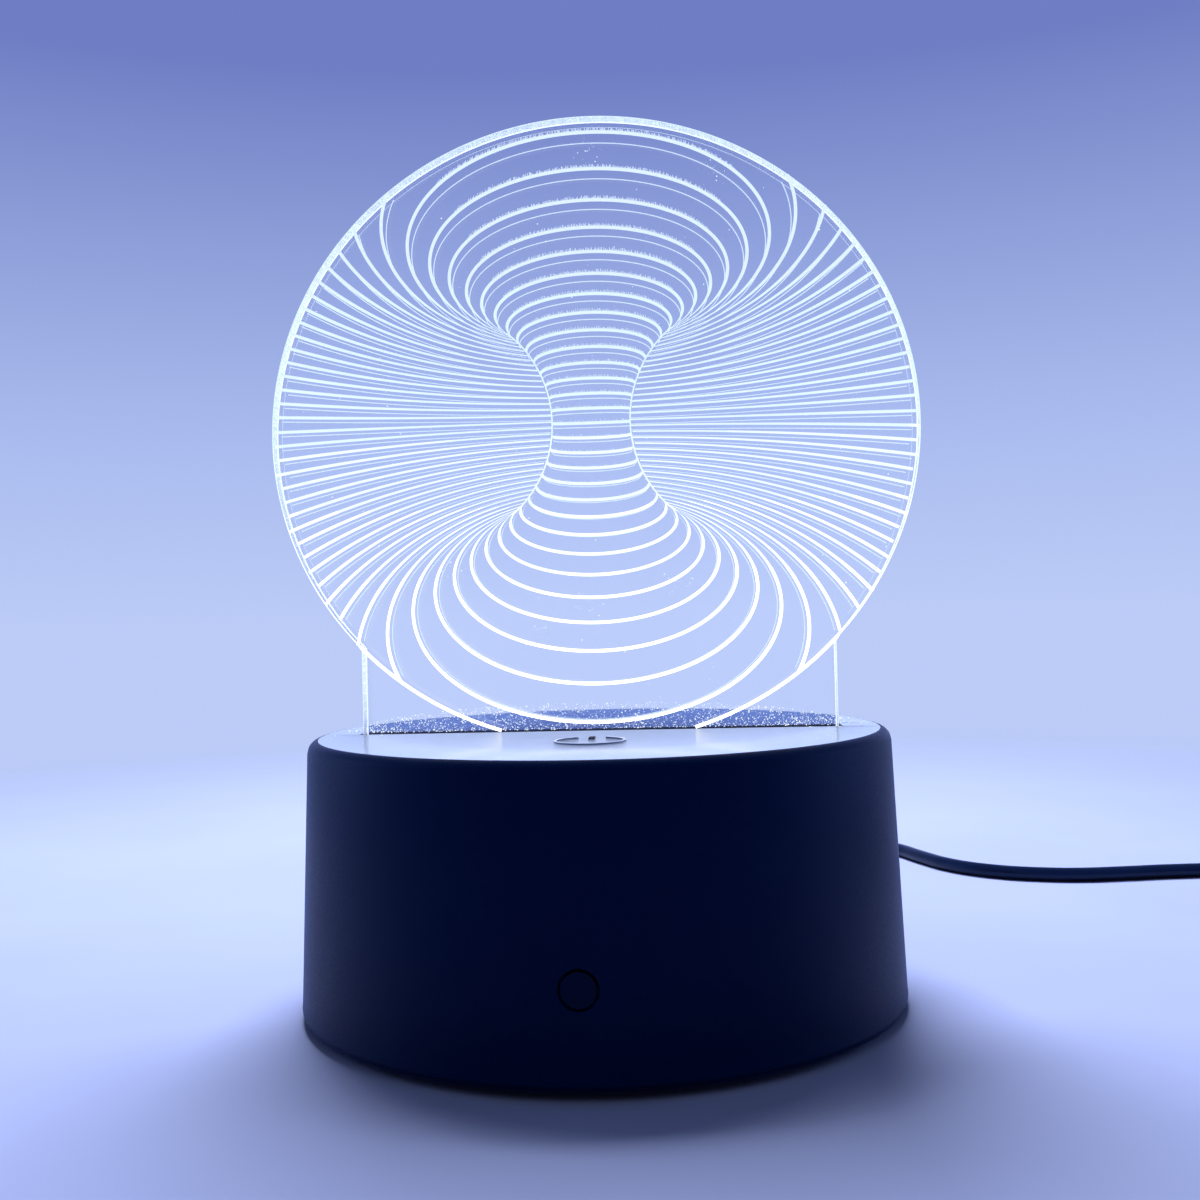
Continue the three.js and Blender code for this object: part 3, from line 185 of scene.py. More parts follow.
chipBlack = surface("mouldedChip", (0.012, 0.012, 0.013), (0.02, 0.02, 0.021), 900, 6000,
                    0.5, (0.45, 0.62))
nickelPlate = surface("nickelPlate", (0.60, 0.585, 0.555), (0.68, 0.665, 0.63), 300, 5200,
                      0.15, (0.18, 0.30), Metallic=1.0)
screwSteel = surface("screwSteel", (0.36, 0.36, 0.37), (0.48, 0.48, 0.49), 500, 6200,
                     0.25, (0.26, 0.40), Metallic=1.0)
symbolPrint = surface("greyPrint", (0.20, 0.25, 0.42), (0.24, 0.29, 0.48), 700, 5200,
                      0.3, (0.25, 0.35), **{"Coat Weight": 0.6, "Coat Roughness": 0.16})
barPrint = surface("blackPrint", (0.004, 0.005, 0.012), (0.007, 0.008, 0.018), 700, 5200,
                   0.3, (0.6, 0.75), **{"Specular IOR Level": 0.2})
tieBlack = surface("tieBlack", (0.010, 0.010, 0.012), (0.016, 0.016, 0.019), 300, 3200,
                   0.3, (0.40, 0.52))
hookupWire = surface("hookupWire", (0.30, 0.010, 0.010), (0.38, 0.018, 0.014), 300, 3000,
                     0.1, (0.28, 0.38), **{"Coat Weight": 0.2})
cableBlack = surface("leadJacket", (0.0020, 0.0035, 0.0130), (0.0032, 0.0052, 0.0180), 140, 3600,
                     0.25, (0.30, 0.40), **{"Specular IOR Level": 0.45,
                                            "Specular Tint": (0.3, 0.5, 1.0, 1)})
smokedWindow = surface("smokedWindow", (0.0004, 0.0005, 0.0035), (0.0006, 0.0008, 0.0045), 200, 2000,
                       0.05, (0.26, 0.34), **{"Specular IOR Level": 0.25,
                                              "Specular Tint": (0.13, 0.3, 1.0, 1)})


def boardLook(name, maskFirst, maskSecond, copper):
    # solder mask over copper runs
    look, tree, shader = newLook(name)
    place = tree.nodes.new("ShaderNodeTexCoord")
    bricks = tree.nodes.new("ShaderNodeTexBrick")
    bricks.inputs["Scale"].default_value = 330
    bricks.inputs["Mortar Size"].default_value = 0.06
    bricks.inputs["Color1"].default_value = (*maskFirst, 1)
    bricks.inputs["Color2"].default_value = (*maskSecond, 1)
    bricks.inputs["Mortar"].default_value = (*copper, 1)
    tree.links.new(place.outputs["Object"], bricks.inputs["Vector"])
    tree.links.new(bricks.outputs["Color"], shader.inputs["Base Color"])
    fine = noiseOn(tree, 2600)
    tree.links.new(between(tree, fine.outputs["Fac"], 0.28, 0.40), shader.inputs["Roughness"])
    roughen(tree, shader, bricks.outputs["Fac"], 0.3)
    return look


boardGreen = boardLook("greenBoard", (0.012, 0.10, 0.036), (0.016, 0.12, 0.044), (0.035, 0.19, 0.07))
boardWhite = boardLook("whiteBoard", (0.74, 0.75, 0.74), (0.78, 0.79, 0.78), (0.62, 0.63, 0.62))
ledPackage = surface("ledPackage", (0.80, 0.82, 0.78), (0.86, 0.88, 0.84), 300, 3000, 0.1,
                     (0.3, 0.4), **{"Emission Color": (0.70, 0.84, 1.0, 1), "Emission Strength": 2.0})
clearAcrylic = surface("clearAcrylic", (0.935, 0.945, 0.955), (0.955, 0.963, 0.97), 40, 900, 0.0,
                       (0.0, 0.012),
                       **{"Transmission Weight": 1.0, "IOR": 1.49,
                          "Emission Color": (0.72, 0.80, 1.0, 1), "Emission Strength": 0.012})
frostedEdge = surface("sawnAcrylicEdge", (0.46, 0.54, 0.72), (0.60, 0.68, 0.86), 160, 2600, 0.6,
                      (0.30, 0.45), (1, 0.05, 1),
                      **{"Transmission Weight": 0.7, "IOR": 1.49,
                         "Emission Color": (0.62, 0.76, 1.0, 1), "Emission Strength": 0.16})
brightArris = surface("litArris", (0.9, 0.94, 1.0), (1.0, 1.0, 1.0), 300, 3000, 0.2, (0.3, 0.4),
                      **{"Emission Color": (0.82, 0.92, 1.0, 1), "Emission Strength": 0.85})
print("materials are made")


# shared making helpers

def finishPiece(name, shape, looks, body, nodes=(), angle=32, recalc=True):
    if recalc:
        bmesh.ops.recalc_face_normals(shape, faces=shape.faces)
    mesh = bpy.data.meshes.new(name)
    shape.to_mesh(mesh)
    shape.free()
    for look in looks if isinstance(looks, (list, tuple)) else [looks]:
        mesh.materials.append(look)
    mesh.shade_smooth()
    mesh.set_sharp_from_angle(angle=math.radians(angle))
    piece = bpy.data.objects.new(name, mesh)
    links.link(piece)
    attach(piece, body)
    if nodes:
        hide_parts(*nodes)
    return piece


def sharpEdges(shape, angle):
    return [edge for edge in shape.edges
            if len(edge.link_faces) == 2 and edge.calc_face_angle(0.0) > math.radians(angle)]


def easeEdges(shape, edges, width, steps=2):
    bmesh.ops.bevel(shape, geom=edges, offset=width, offset_type="OFFSET", affect="EDGES",
                    segments=steps, profile=0.5, material=-1, clamp_overlap=True)


def dressedCopy(node, look, body, width=0.0, holes=()):
    # the node's own solid, merged, with holes cut and its edges eased
    shape = bmesh.new()
    shape.from_mesh(frame["nodes"][node].data)
    bmesh.ops.remove_doubles(shape, verts=shape.verts, dist=1e-6)
    bmesh.ops.dissolve_limit(shape, angle_limit=math.radians(0.4), verts=shape.verts,
                             edges=shape.edges, delimit=set())
    for low, high in holes:
        shape = carve(shape, boxShape(low, high))
    if width:
        easeEdges(shape, sharpEdges(shape, 30), width * mm)
    return finishPiece(node + "_dressed", shape, look, body, [node], recalc=False)


def dressNode(node, look):
    data = frame["nodes"][node].data
    data.materials.clear()
    data.materials.append(look)


def spunShape(profile, steps, axis="Z", centre=(0, 0, 0)):
    # profile: (radius, height) pairs in mm, from the axis round to the axis
    shape = bmesh.new()
    made = [shape.verts.new((r * mm, 0, h * mm)) for r, h in profile]
    edges = [shape.edges.new(pair) for pair in zip(made, made[1:])]
    bmesh.ops.spin(shape, geom=made + edges, cent=(0, 0, 0), axis=(0, 0, 1), dvec=(0, 0, 0),
                   angle=math.tau, steps=steps, use_merge=True, use_duplicate=False)
    bmesh.ops.remove_doubles(shape, verts=shape.verts, dist=1e-7)
    if axis == "Y":  # height runs to the back
        bmesh.ops.rotate(shape, verts=shape.verts, cent=(0, 0, 0),
                         matrix=Matrix.Rotation(math.radians(-90), 3, "X"))
    bmesh.ops.translate(shape, verts=shape.verts, vec=Vector(centre) * mm)
    return shape


def meshedObject(name, shape):
    bmesh.ops.recalc_face_normals(shape, faces=shape.faces)
    mesh = bpy.data.meshes.new(name)
    shape.to_mesh(mesh)
    shape.free()
    piece = bpy.data.objects.new(name, mesh)
    links.link(piece)
    return piece


def carve(shape, tool, operation="DIFFERENCE"):
    # joins or cuts two closed shapes
    piece, cutter = meshedObject("carved", shape), meshedObject("cutter", tool)
    change = piece.modifiers.new("carve", "BOOLEAN")
    change.object, change.operation, change.solver = cutter, operation, "EXACT"
    bpy.context.view_layer.update()
    mesh = bpy.data.meshes.new_from_object(piece.evaluated_get(bpy.context.evaluated_depsgraph_get()))
    result = bmesh.new()
    result.from_mesh(mesh)
    for spent in (piece, cutter):
        data = spent.data
        bpy.data.objects.remove(spent)
        bpy.data.meshes.remove(data)
    bpy.data.meshes.remove(mesh)
    return result


def boxShape(low, high):
    shape = bmesh.new()
    bmesh.ops.create_cube(shape, size=1.0)
    bmesh.ops.scale(shape, verts=shape.verts, vec=(Vector(high) - Vector(low)) * mm)
    bmesh.ops.translate(shape, verts=shape.verts, vec=(Vector(high) + Vector(low)) / 2 * mm)
    return shape


def rodShape(radius, bottom, top, x, y, sides=48):
    return spunShape([(0, bottom), (radius, bottom), (radius, top), (0, top)], sides, centre=(x, y, 0))


def roundedBar(halfWidth, halfHeight, corner, front, back, x, z, ends=0.6):
    shape = bmesh.new()
    bmesh.ops.create_cube(shape, size=1.0)
    bmesh.ops.scale(shape, verts=shape.verts,
                    vec=Vector((2 * halfWidth, back - front, 2 * halfHeight)) * mm)
    bmesh.ops.translate(shape, verts=shape.verts, vec=Vector((x, (front + back) / 2, z)) * mm)
    long = [e for e in shape.edges if abs(e.verts[0].co.y - e.verts[1].co.y) > 0.5 * (back - front) * mm]
    easeEdges(shape, long, corner * mm, 8)
    if ends:
        rims = sharpEdges(shape, 60)
        easeEdges(shape, rims, ends * mm, 4)
    return shape


# the lead: one curve from the strain relief along the table, through the coil, to the far plug
lead = {
    "thickness": 2.8,
    "length": 1.15,
    "way": [(0, 70.47, 8.5), (0, 76, 8.2), (0.3, 84, 6.2), (1.2, 92, 3.6), (3.2, 100, 1.9),
            (7, 108, 1.4), (13.5, 115.5, 1.4), (22.5, 121, 1.4), (33.5, 122.8, 1.4), (44.5, 120.2, 1.4),
            (53, 114, 1.4), (58.8, 106, 1.4), (62.6, 96.4, 1.4), (67.2, 87.2, 1.4), (73.8, 80.9, 1.4),
            (81.6, 77.5, 1.4), (90, 76.3, 1.4), (98.8, 77.3, 1.4), (107.6, 78.8, 1.4), (116.4, 79.7, 1.4),
            (125.2, 80.1, 1.5), (134, 80.3, 1.8)],
    "coilCentre": (148.0, 60.9),
    "coilTurns": 9.0,
    "climbTurns": 0.5,
    "coilLayers": 4,
    "middleRadius": 16.0,
    "pitch": 3.4,
    "coilBottom": 2.2,
    "stepsPerTurn": 24,
    "tail": [(155.5, 80.1, 12.4), (161.2, 78.8, 12.1), (166.6, 75.4, 11.1), (170.8, 70.4, 9.4),
             (173.3, 64.6, 7.3), (174.1, 58.8, 5.3), (174.2, 53.4, 4.1), (174.2, 49.7, 3.8),
             (174.2, 38, 3.8)],
}


def coilPlace(turn):
    # winds in and out in stacked layers, and climbs from one to the next over half a turn
    layerTurns = (lead["coilTurns"] - 3 * lead["climbTurns"]) / lead["coilLayers"]
    spiral = layerTurns + lead["climbTurns"]
    outer = lead["middleRadius"] + lead["pitch"] * layerTurns / 2
    wave = turn + lead["climbTurns"] / 2
    phase = wave % (2 * spiral)
    depth = min(phase, 2 * spiral - phase) - lead["climbTurns"] / 2
    nearest = math.floor(wave / spiral + 0.5)
    rise = (wave - nearest * spiral + lead["climbTurns"] / 2) / lead["climbTurns"]
    rise = min(max(rise, 0.0), 1.0)
    layer = min(max(nearest - 1 + rise * rise * (3 - 2 * rise), 0.0), lead["coilLayers"] - 1)
    angle = math.pi / 2 - math.tau * turn
    radius = outer - lead["pitch"] * depth
    x, y = lead["coilCentre"]
    z = lead["coilBottom"] + lead["pitch"] * layer
    return x + radius * math.cos(angle), y + radius * math.sin(angle), z


def leadRoute():
    steps = int(lead["coilTurns"] * lead["stepsPerTurn"])
    wound = [coilPlace(i / lead["stepsPerTurn"]) for i in range(steps + 1)]
    return lead["way"] + wound + lead["tail"]


def makeLead():
    data = bpy.data.curves.new("lead_cable", "CURVE")
    data.dimensions = "3D"
    data.bevel_depth = lead["thickness"] / 2 * mm
    data.bevel_resolution = 3
    data.resolution_u = 4
    data.use_fill_caps = True
    route = leadRoute()
    spline = data.splines.new("BEZIER")
    spline.bezier_points.add(len(route) - 1)
    for point, place in zip(spline.bezier_points, route):
        point.co = Vector(place) * mm
        point.handle_left_type = point.handle_right_type = "AUTO"
    data.materials.append(cableBlack)
    piece = bpy.data.objects.new("lead_cable", data)
    links.link(piece)
    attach(piece, "usb_lead")
    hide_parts("usb_cable", "cable_coil", "cable_tail")
    return piece


leadPiece = makeLead()

plugs = {
    "bodyFront": 40.27, "noseBack": 44.17, "bodyBack": 58.17,
    "nose": (5.2, 3.0, 1.6), "body": (5.6, 3.6, 2.0), "overlap": 0.6, "height": 8.5,
    "noseRound": 0.4, "bodyRound": 1.1, "farRound": 1.0,
    "farX": 174.2, "farHeight": 3.8, "farFront": 6.4, "farBack": 40.4, "farBody": (7.7, 3.8, 1.8),
}
sleeve = {
    "thick": 2.6, "thin": 1.9, "length": 12.0, "farLength": 9.0, "grooves": 4, "deep": 0.35, "steps": 40,
    "grooveShares": ((-0.075, 0), (-0.045, 0.75), (-0.03, 1), (0.03, 1), (0.045, 0.75), (0.075, 0)),
    "easeFrom": 0.975, "eased": ((0.12, 0.08), (0.35, 0)),
}


def makeStrainRelief(name, x, z, root, length, node):
    # a tapered sleeve with grooves round it and a rounded end
    def radius(share):
        return sleeve["thick"] + (sleeve["thin"] - sleeve["thick"]) * share

    profile = [(0, 0), (sleeve["thick"], 0)]
    for k in range(sleeve["grooves"]):
        middle = (k + 0.75) / (sleeve["grooves"] + 0.5)
        for shift, sink in sleeve["grooveShares"]:
            share = middle + shift
            profile.append((radius(share) - sink * sleeve["deep"], share * length))
    profile.append((radius(sleeve["easeFrom"]), length * sleeve["easeFrom"]))
    profile += [(radius(1) - inward, length - short) for inward, short in sleeve["eased"]]
    profile.append((0, length))
    shape = spunShape(profile, sleeve["steps"], "Y")
    bmesh.ops.translate(shape, verts=shape.verts, vec=Vector((x, root, z)) * mm)
    return finishPiece(name, shape, cableBlack, "usb_lead", [node], 28)


def makeSmallPlug():
    nose = roundedBar(*plugs["nose"], plugs["bodyFront"], plugs["noseBack"] + plugs["overlap"], 0,
                      plugs["height"], plugs["noseRound"])
    body = roundedBar(*plugs["body"], plugs["noseBack"], plugs["bodyBack"], 0, plugs["height"],
                      plugs["bodyRound"])
    part = bpy.data.meshes.new("noseMesh")
    nose.to_mesh(part)
    nose.free()
    body.from_mesh(part)
    bpy.data.meshes.remove(part)
    return finishPiece("small_plug_body", body, cableBlack, "usb_lead", ["plug_body"], 28)


def makeFarPlug():
    shape = roundedBar(*plugs["farBody"], plugs["farFront"], plugs["farBack"], plugs["farX"],
                       plugs["farHeight"], plugs["farRound"])
    return finishPiece("far_plug_body", shape, cableBlack, "usb_lead",
                       ["usb_plug_body"], 28)


# square holes, two in each broad side of the far plug's shell
shellWindows = {"half": 1.15, "aside": 2.45, "back": 5.4, "rise": 2.25, "deep": 0.6}


def windowHoles():
    half, deep = shellWindows["half"], shellWindows["deep"]
    y = plugs["farFront"] - shellWindows["back"]
    holes = []
    for z in (plugs["farHeight"] - shellWindows["rise"], plugs["farHeight"] + shellWindows["rise"]):
        for x in (plugs["farX"] - shellWindows["aside"], plugs["farX"] + shellWindows["aside"]):
            holes.append(((x - half, y - half, z - deep), (x + half, y + half, z + deep)))
    return holes


smallPlug = makeSmallPlug()
farPlug = makeFarPlug()
nearRelief = makeStrainRelief("small_plug_relief", 0, plugs["height"], plugs["bodyBack"], sleeve["length"],
                              "plug_strain_relief")
farRelief = makeStrainRelief("far_plug_relief", plugs["farX"], plugs["farHeight"], plugs["farBack"],
                             sleeve["farLength"], "usb_strain_relief")
tiePiece = dressedCopy("cable_tie", tieBlack, "usb_lead", 0.08)
smallShell = dressedCopy("plug_shell", nickelPlate, "usb_lead", 0.06)
farShell = dressedCopy("usb_plug_shell", nickelPlate, "usb_lead", 0.08, windowHoles())
farTongue = dressedCopy("usb_plug_tongue", whitePlastic, "usb_lead", 0.1)
print("lead and plugs are made")


# the acrylic plate: an upright oval disc on a wide stem, cut from 4 mm sheet
plate = {
    "halfWidth": 47.6, "halfHeight": 46.0, "centreHeight": 83.0, "thickness": 4.0,
    "stemHalfWidth": 34.8, "stemBottom": 28.4, "arris": 0.15, "steps": 256, "litAbove": 39.0,
}


def makePlate():
    shape = bmesh.new()
    bmesh.ops.create_circle(shape, cap_ends=False, segments=plate["steps"], radius=mm,
                            matrix=Matrix.Rotation(math.radians(90), 4, "X"))
    bmesh.ops.scale(shape, verts=shape.verts, vec=(plate["halfWidth"], 1, plate["halfHeight"]))
    half, stem = plate["halfWidth"], plate["stemHalfWidth"]
    joinHeight = plate["centreHeight"] - plate["halfHeight"] * math.sqrt(1 - (stem / half) ** 2)
    bmesh.ops.translate(shape, verts=shape.verts,
                        vec=(0, -plate["thickness"] / 2 * mm, plate["centreHeight"] * mm))
    bmesh.ops.bisect_plane(shape, geom=shape.verts[:] + shape.edges[:], plane_co=(0, 0, joinHeight * mm),
                           plane_no=(0, 0, 1), clear_inner=True)
    ends = [v for v in shape.verts if len(v.link_edges) == 1]
    legs = bmesh.ops.extrude_vert_indiv(shape, verts=ends)["verts"]
    for v in legs:
        v.co = Vector((math.copysign(stem * mm, v.co.x), v.co.y, plate["stemBottom"] * mm))
    shape.edges.new(legs)
    bmesh.ops.contextual_create(shape, geom=shape.edges[:])
    grown = bmesh.ops.extrude_face_region(shape, geom=shape.faces[:], use_keep_orig=True)
    bmesh.ops.translate(shape, verts=[g for g in grown["geom"] if isinstance(g, bmesh.types.BMVert)],
                        vec=(0, plate["thickness"] * mm, 0))
    bmesh.ops.recalc_face_normals(shape, faces=shape.faces)
    for face in shape.faces:
        face.material_index = 0 if abs(face.normal.y) > 0.9 else 1
    rims = [e for e in shape.edges if abs(e.verts[0].co.y - e.verts[1].co.y) < 1e-6]
    made = bmesh.ops.bevel(shape, geom=rims, offset=plate["arris"] * mm, affect="EDGES", segments=1,
                           profile=0.5, material=-1, clamp_overlap=True)
    for face in made["faces"]:
        face.material_index = 2 if face.calc_center_median().z > plate["litAbove"] * mm else 1
    return finishPiece("plate_sheet", shape, [clearAcrylic, frostedEdge, brightArris], "plate",
                       ["acrylic_plate"], 30)


makePlate()

# the engraved figure: rings of a ring torus in perspective, seen from inside the tube
figure = {
    "focal": 35.896, "ringRadius": 0.6506, "tubeRadius": 0.4932, "rise": 17.4551, "drop": -0.258,
    "centreX": 0.0612, "centreHeight": 84.3301, "step": 5.9931, "phase": -0.3056, "turnSteps": 360,
    "rings": 30, "nearest": 0.03, "sightSteps": 40, "grazing": 1.0005, "widestGap": 4.0,
    "lineShare": 0.120, "finest": 0.008, "broadLine": 0.225, "topBroadens": (90, 0.0010),
    "footBroadens": (66, 0.0008), "footShareDrops": (74, 0.0012), "flatShare": 0.25,
    "spacing": 0.45, "shortest": 0.02,
}

# its faint mirror image in the plate's back face, a painted reflection: glowing lines laid on that face
backReflection = {
    "lineShare": 0.045, "finest": 0.006, "broadLine": 0.075, "scale": 0.990, "middle": (-16.0, 56.1),
    "reach": 1.6, "inset": 0.5, "spacing": 0.6, "rimInset": 0.80, "rimFrom": -38, "rimTo": 218,
}


def figurePlace(around, turn):
    tube, rise = figure["tubeRadius"], figure["rise"] / figure["focal"]
    rho = figure["ringRadius"] - tube * math.cos(around)
    place = Vector((rho * math.sin(turn), -rho * math.cos(turn),
                    rise * math.sin(around) + figure["drop"] / figure["focal"]))
    return place, 1 - rho * math.cos(turn)


def figureSees(place):
    # from the eye at (0, -1, 0) the sight line stays within the tube
    rise, drop = figure["rise"] / figure["focal"], figure["drop"] / figure["focal"]
    for i in range(1, figure["sightSteps"]):
        t = i / figure["sightSteps"]
        x, y, z = place.x * t, -1 + (place.y + 1) * t, place.z * t
        off = (math.hypot(x, y) - figure["ringRadius"]) / figure["tubeRadius"]
        if off * off + ((z - drop) / rise) ** 2 > figure["grazing"]:
            return False
    return True


def onPlate(place, depth):
    return (figure["centreX"] + figure["focal"] * place.x / depth,
            figure["centreHeight"] + figure["focal"] * place.z / depth)


def gapBeside(around, turn, x, z):
    # distance on the plate to the next ring of the figure, at the same turn
    beside, depth = figurePlace(around + math.radians(figure["step"]), turn)
    if depth < figure["nearest"]:
        return figure["widestGap"]
    along, alongDepth = figurePlace(around, turn + 0.004)
    nextX, nextZ = onPlate(beside, depth)
    aheadX, aheadZ = onPlate(along, max(alongDepth, figure["nearest"]))
    heading = math.hypot(aheadX - x, aheadZ - z) + 1e-9
    return abs((nextX - x) * (aheadZ - z) - (nextZ - z) * (aheadX - x)) / heading


def insideDisc(x, z, margin=0.0):
    return ((x / (plate["halfWidth"] - margin)) ** 2
            + ((z - plate["centreHeight"]) / (plate["halfHeight"] - margin)) ** 2) < 1


def figureLines(margin=0.0):
    lines = []
    for k in range(-figure["rings"], figure["rings"]):
        around = math.radians(figure["step"] * k + figure["phase"])
        run = []
        for i in range(figure["turnSteps"] + 1):
            turn = -math.pi + math.tau * i / figure["turnSteps"]
            place, depth = figurePlace(around, turn)
            seen = depth > figure["nearest"]
            if seen:
                x, z = onPlate(place, depth)
                seen = insideDisc(x, z, margin) and figureSees(place)
            if seen:
                run.append((x, z, gapBeside(around, turn, x, z)))
            else:
                if len(run) > 1:
                    lines.append(run)
                run = []
        if len(run) > 1:
            lines.append(run)
    return lines


engravedLines = figureLines()
print("figure has", len(engravedLines), "lines")

glow = [  # height up to, colour, strength
    (52, (0.90, 0.93, 1.0), 2.4),
    (62, (0.90, 0.94, 1.0), 1.9),
    (72, (0.88, 0.95, 1.0), 1.35),
    (82, (0.84, 0.95, 1.0), 1.05),
    (92, (0.77, 0.94, 1.0), 0.97),
    (104, (0.75, 0.92, 0.98), 0.94),
    (200, (0.75, 0.89, 0.97), 0.92),
]


def glowLook(name, colour, strength):
    look, tree, shader = newLook(name)
    frost = noiseOn(tree, 2400)
    tone = mixed(tree, frost.outputs["Fac"], (0.26, 0.30, 0.36), (0.38, 0.42, 0.48))
    tree.links.new(tone, shader.inputs["Base Color"])
    setSockets(shader, {"Roughness": 0.7, "Emission Color": (*colour, 1), "Emission Strength": strength})
    return look


def resampled(run, gap):
    # even spacing along the run
    kept = [run[0]]
    spare = 0.0
    for first, last in zip(run, run[1:]):
        length = math.hypot(last[0] - first[0], last[1] - first[1])
        if length < 1e-9:
            continue
        t = gap - spare
        while t < length:
            kept.append(tuple(a + (b - a) * t / length for a, b in zip(first, last)))
            t += gap
        spare = length - (t - gap)
    if math.hypot(kept[-1][0] - run[-1][0], kept[-1][1] - run[-1][1]) > figure["shortest"]:
        kept.append(run[-1])
    return kept


def lineWidth(z, gap):
    # a share of the way to the next line, up to the cutter's width, which grows to the top and the foot
    top, topGrows = figure["topBroadens"]
    foot, footGrows = figure["footBroadens"]
    crowded, shareDrops = figure["footShareDrops"]
    full = figure["broadLine"] + topGrows * max(z - top, 0) + footGrows * max(foot - z, 0)
    lineShare = figure["lineShare"] - shareDrops * max(crowded - z, 0)
    return min(lineShare * gap + figure["finest"], full)


def reflectionWidth(z, gap):
    return min(backReflection["lineShare"] * gap + backReflection["finest"], backReflection["broadLine"])


def makeGrooves(name, runs, look, depth, widthOf):
    # low diamond bars along the runs, half sunk in the face
    data = bpy.data.curves.new(name, "CURVE")
    data.dimensions = "3D"
    data.bevel_depth = mm
    data.bevel_resolution = 0
    data.use_fill_caps = True
    for run in runs:
        spline = data.splines.new("POLY")
        spline.points.add(len(run) - 1)
        for point, (x, z, gap) in zip(spline.points, run):
            point.co = (x * mm, 0, z * mm, 1)
            point.radius = widthOf(z, gap)
    curve = bpy.data.objects.new(name + "Curve", data)
    links.link(curve)
    bpy.context.view_layer.update()
    mesh = bpy.data.meshes.new_from_object(curve.evaluated_get(bpy.context.evaluated_depsgraph_get()))
    bpy.data.objects.remove(curve)
    bpy.data.curves.remove(data)
    shape = bmesh.new()
    shape.from_mesh(mesh)
    bpy.data.meshes.remove(mesh)
    bmesh.ops.scale(shape, verts=shape.verts, vec=(1, figure["flatShare"], 1))
    bmesh.ops.translate(shape, verts=shape.verts, vec=(0, depth * mm, 0))
    return finishPiece(name, shape, look, "plate", angle=60)


def bandsOf(runs, gap):
    # cut the runs where they pass from one height band to the next
    bands = [[] for _ in glow]
    for run in runs:
        even = resampled(run, gap)
        current, piece = None, []
        for place in even:
            band = next(i for i, row in enumerate(glow) if place[1] <= row[0])
            if current is not None and band != current:
                piece.append(place)
                bands[current].append(piece)
                piece = []
            piece.append(place)
            current = band
        if len(piece) > 1:
            bands[current].append(piece)
    return [[run for run in band if len(run) > 1] for band in bands]


throat = {"reach": 88, "perDegree": 4, "gap": 0.8, "justInside": 0.999, "spacing": 0.4}


def throatEdges():
    # the two hourglass outlines of the figure, between their cusps
    runs = []
    rise, drop = figure["rise"] / figure["focal"], figure["drop"] / figure["focal"]
    for side in (-1, 1):
        run = []
        last = throat["reach"] * throat["perDegree"]
        for i in range(-last, last + 1):
            around = math.radians(i / throat["perDegree"])
            rho = figure["ringRadius"] - figure["tubeRadius"] * math.cos(around)
            cosine = rho - figure["tubeRadius"] * math.tan(around) * (math.sin(around) + drop / rise)
            if abs(cosine) >= 1:
                continue
            place, depth = figurePlace(around, side * math.acos(cosine))
            x, z = onPlate(place, depth)
            if insideDisc(x, z) and figureSees(place * throat["justInside"]):
                run.append((x, z, throat["gap"]))
        # outwards from the waist, stop where the line turns back at a cusp
        waist = min(range(len(run)), key=lambda n: abs(run[n][0]))
        first, last = waist, waist
        while last + 1 < len(run) and run[last + 1][1] > run[last][1]:
            last += 1
        while first > 0 and run[first - 1][1] < run[first][1]:
            first -= 1
        runs.append(run[first:last + 1])
    return runs


edgesOfThroat = throatEdges()
print("throat has", len(edgesOfThroat), "edges")

rim = {
    "inset": 0.12, "steps": 300, "bottom": 39.2, "broadBelow": 52, "broadGap": 3.0, "gap": 0.5,
    "aside": 3,
}


def rimRun(margin, low, high):
    # along the oval's edge; the groove is broad only where it crosses the stem
    run = []
    for i in range(rim["steps"] + 1):
        a = math.radians(low + (high - low) * i / rim["steps"])
        x = (plate["halfWidth"] - margin) * math.cos(a)
        z = plate["centreHeight"] + (plate["halfHeight"] - margin) * math.sin(a)
        if z > rim["bottom"]:
            run.append((x, z, rim["broadGap"] if z < rim["broadBelow"] else rim["gap"]))
    return run


glowLooks = [glowLook("grooveLight" + str(i), row[1], row[2]) for i, row in enumerate(glow)]
# the glow of the painted reflection
reflectionLook = glowLook("paintedBackReflection", (0.72, 0.87, 1.0), 0.82)

leftRim = [p for p in rimRun(rim["inset"], 180, 270) if p[0] < -rim["aside"]]
rightRim = [p for p in rimRun(rim["inset"], 270, 360) if p[0] > rim["aside"]]
frontRuns = engravedLines + [leftRim, rightRim, rimRun(rim["inset"], 0, 180)]
for i, band in enumerate(bandsOf(frontRuns, figure["spacing"])):
    makeGrooves("engraved_band_" + str(i + 1), band, glowLooks[i], -plate["thickness"] / 2, lineWidth)
for i, band in enumerate(bandsOf(edgesOfThroat, throat["spacing"])):
    if band:
        makeGrooves("throat_edge_" + str(i + 1), band, glowLooks[i], -plate["thickness"] / 2, lineWidth)
# the painted reflection: the figure again, a touch smaller about a point, as glowing lines on the back
# face
(middleX, middleZ), scale = backReflection["middle"], backReflection["scale"]
reflectedRuns = []
for run in figureLines(-backReflection["reach"]):
    moved = [(middleX + (x - middleX) * scale, middleZ + (z - middleZ) * scale, gap) for x, z, gap in run]
    moved = [p for p in moved if insideDisc(p[0], p[1], backReflection["inset"])]
    if len(moved) > 2:
        reflectedRuns.append(resampled(moved, backReflection["spacing"]))
reflectedRuns.append(rimRun(backReflection["rimInset"], backReflection["rimFrom"], backReflection["rimTo"]))
makeGrooves("painted_back_reflection", reflectedRuns, reflectionLook, plate["thickness"] / 2, reflectionWidth)


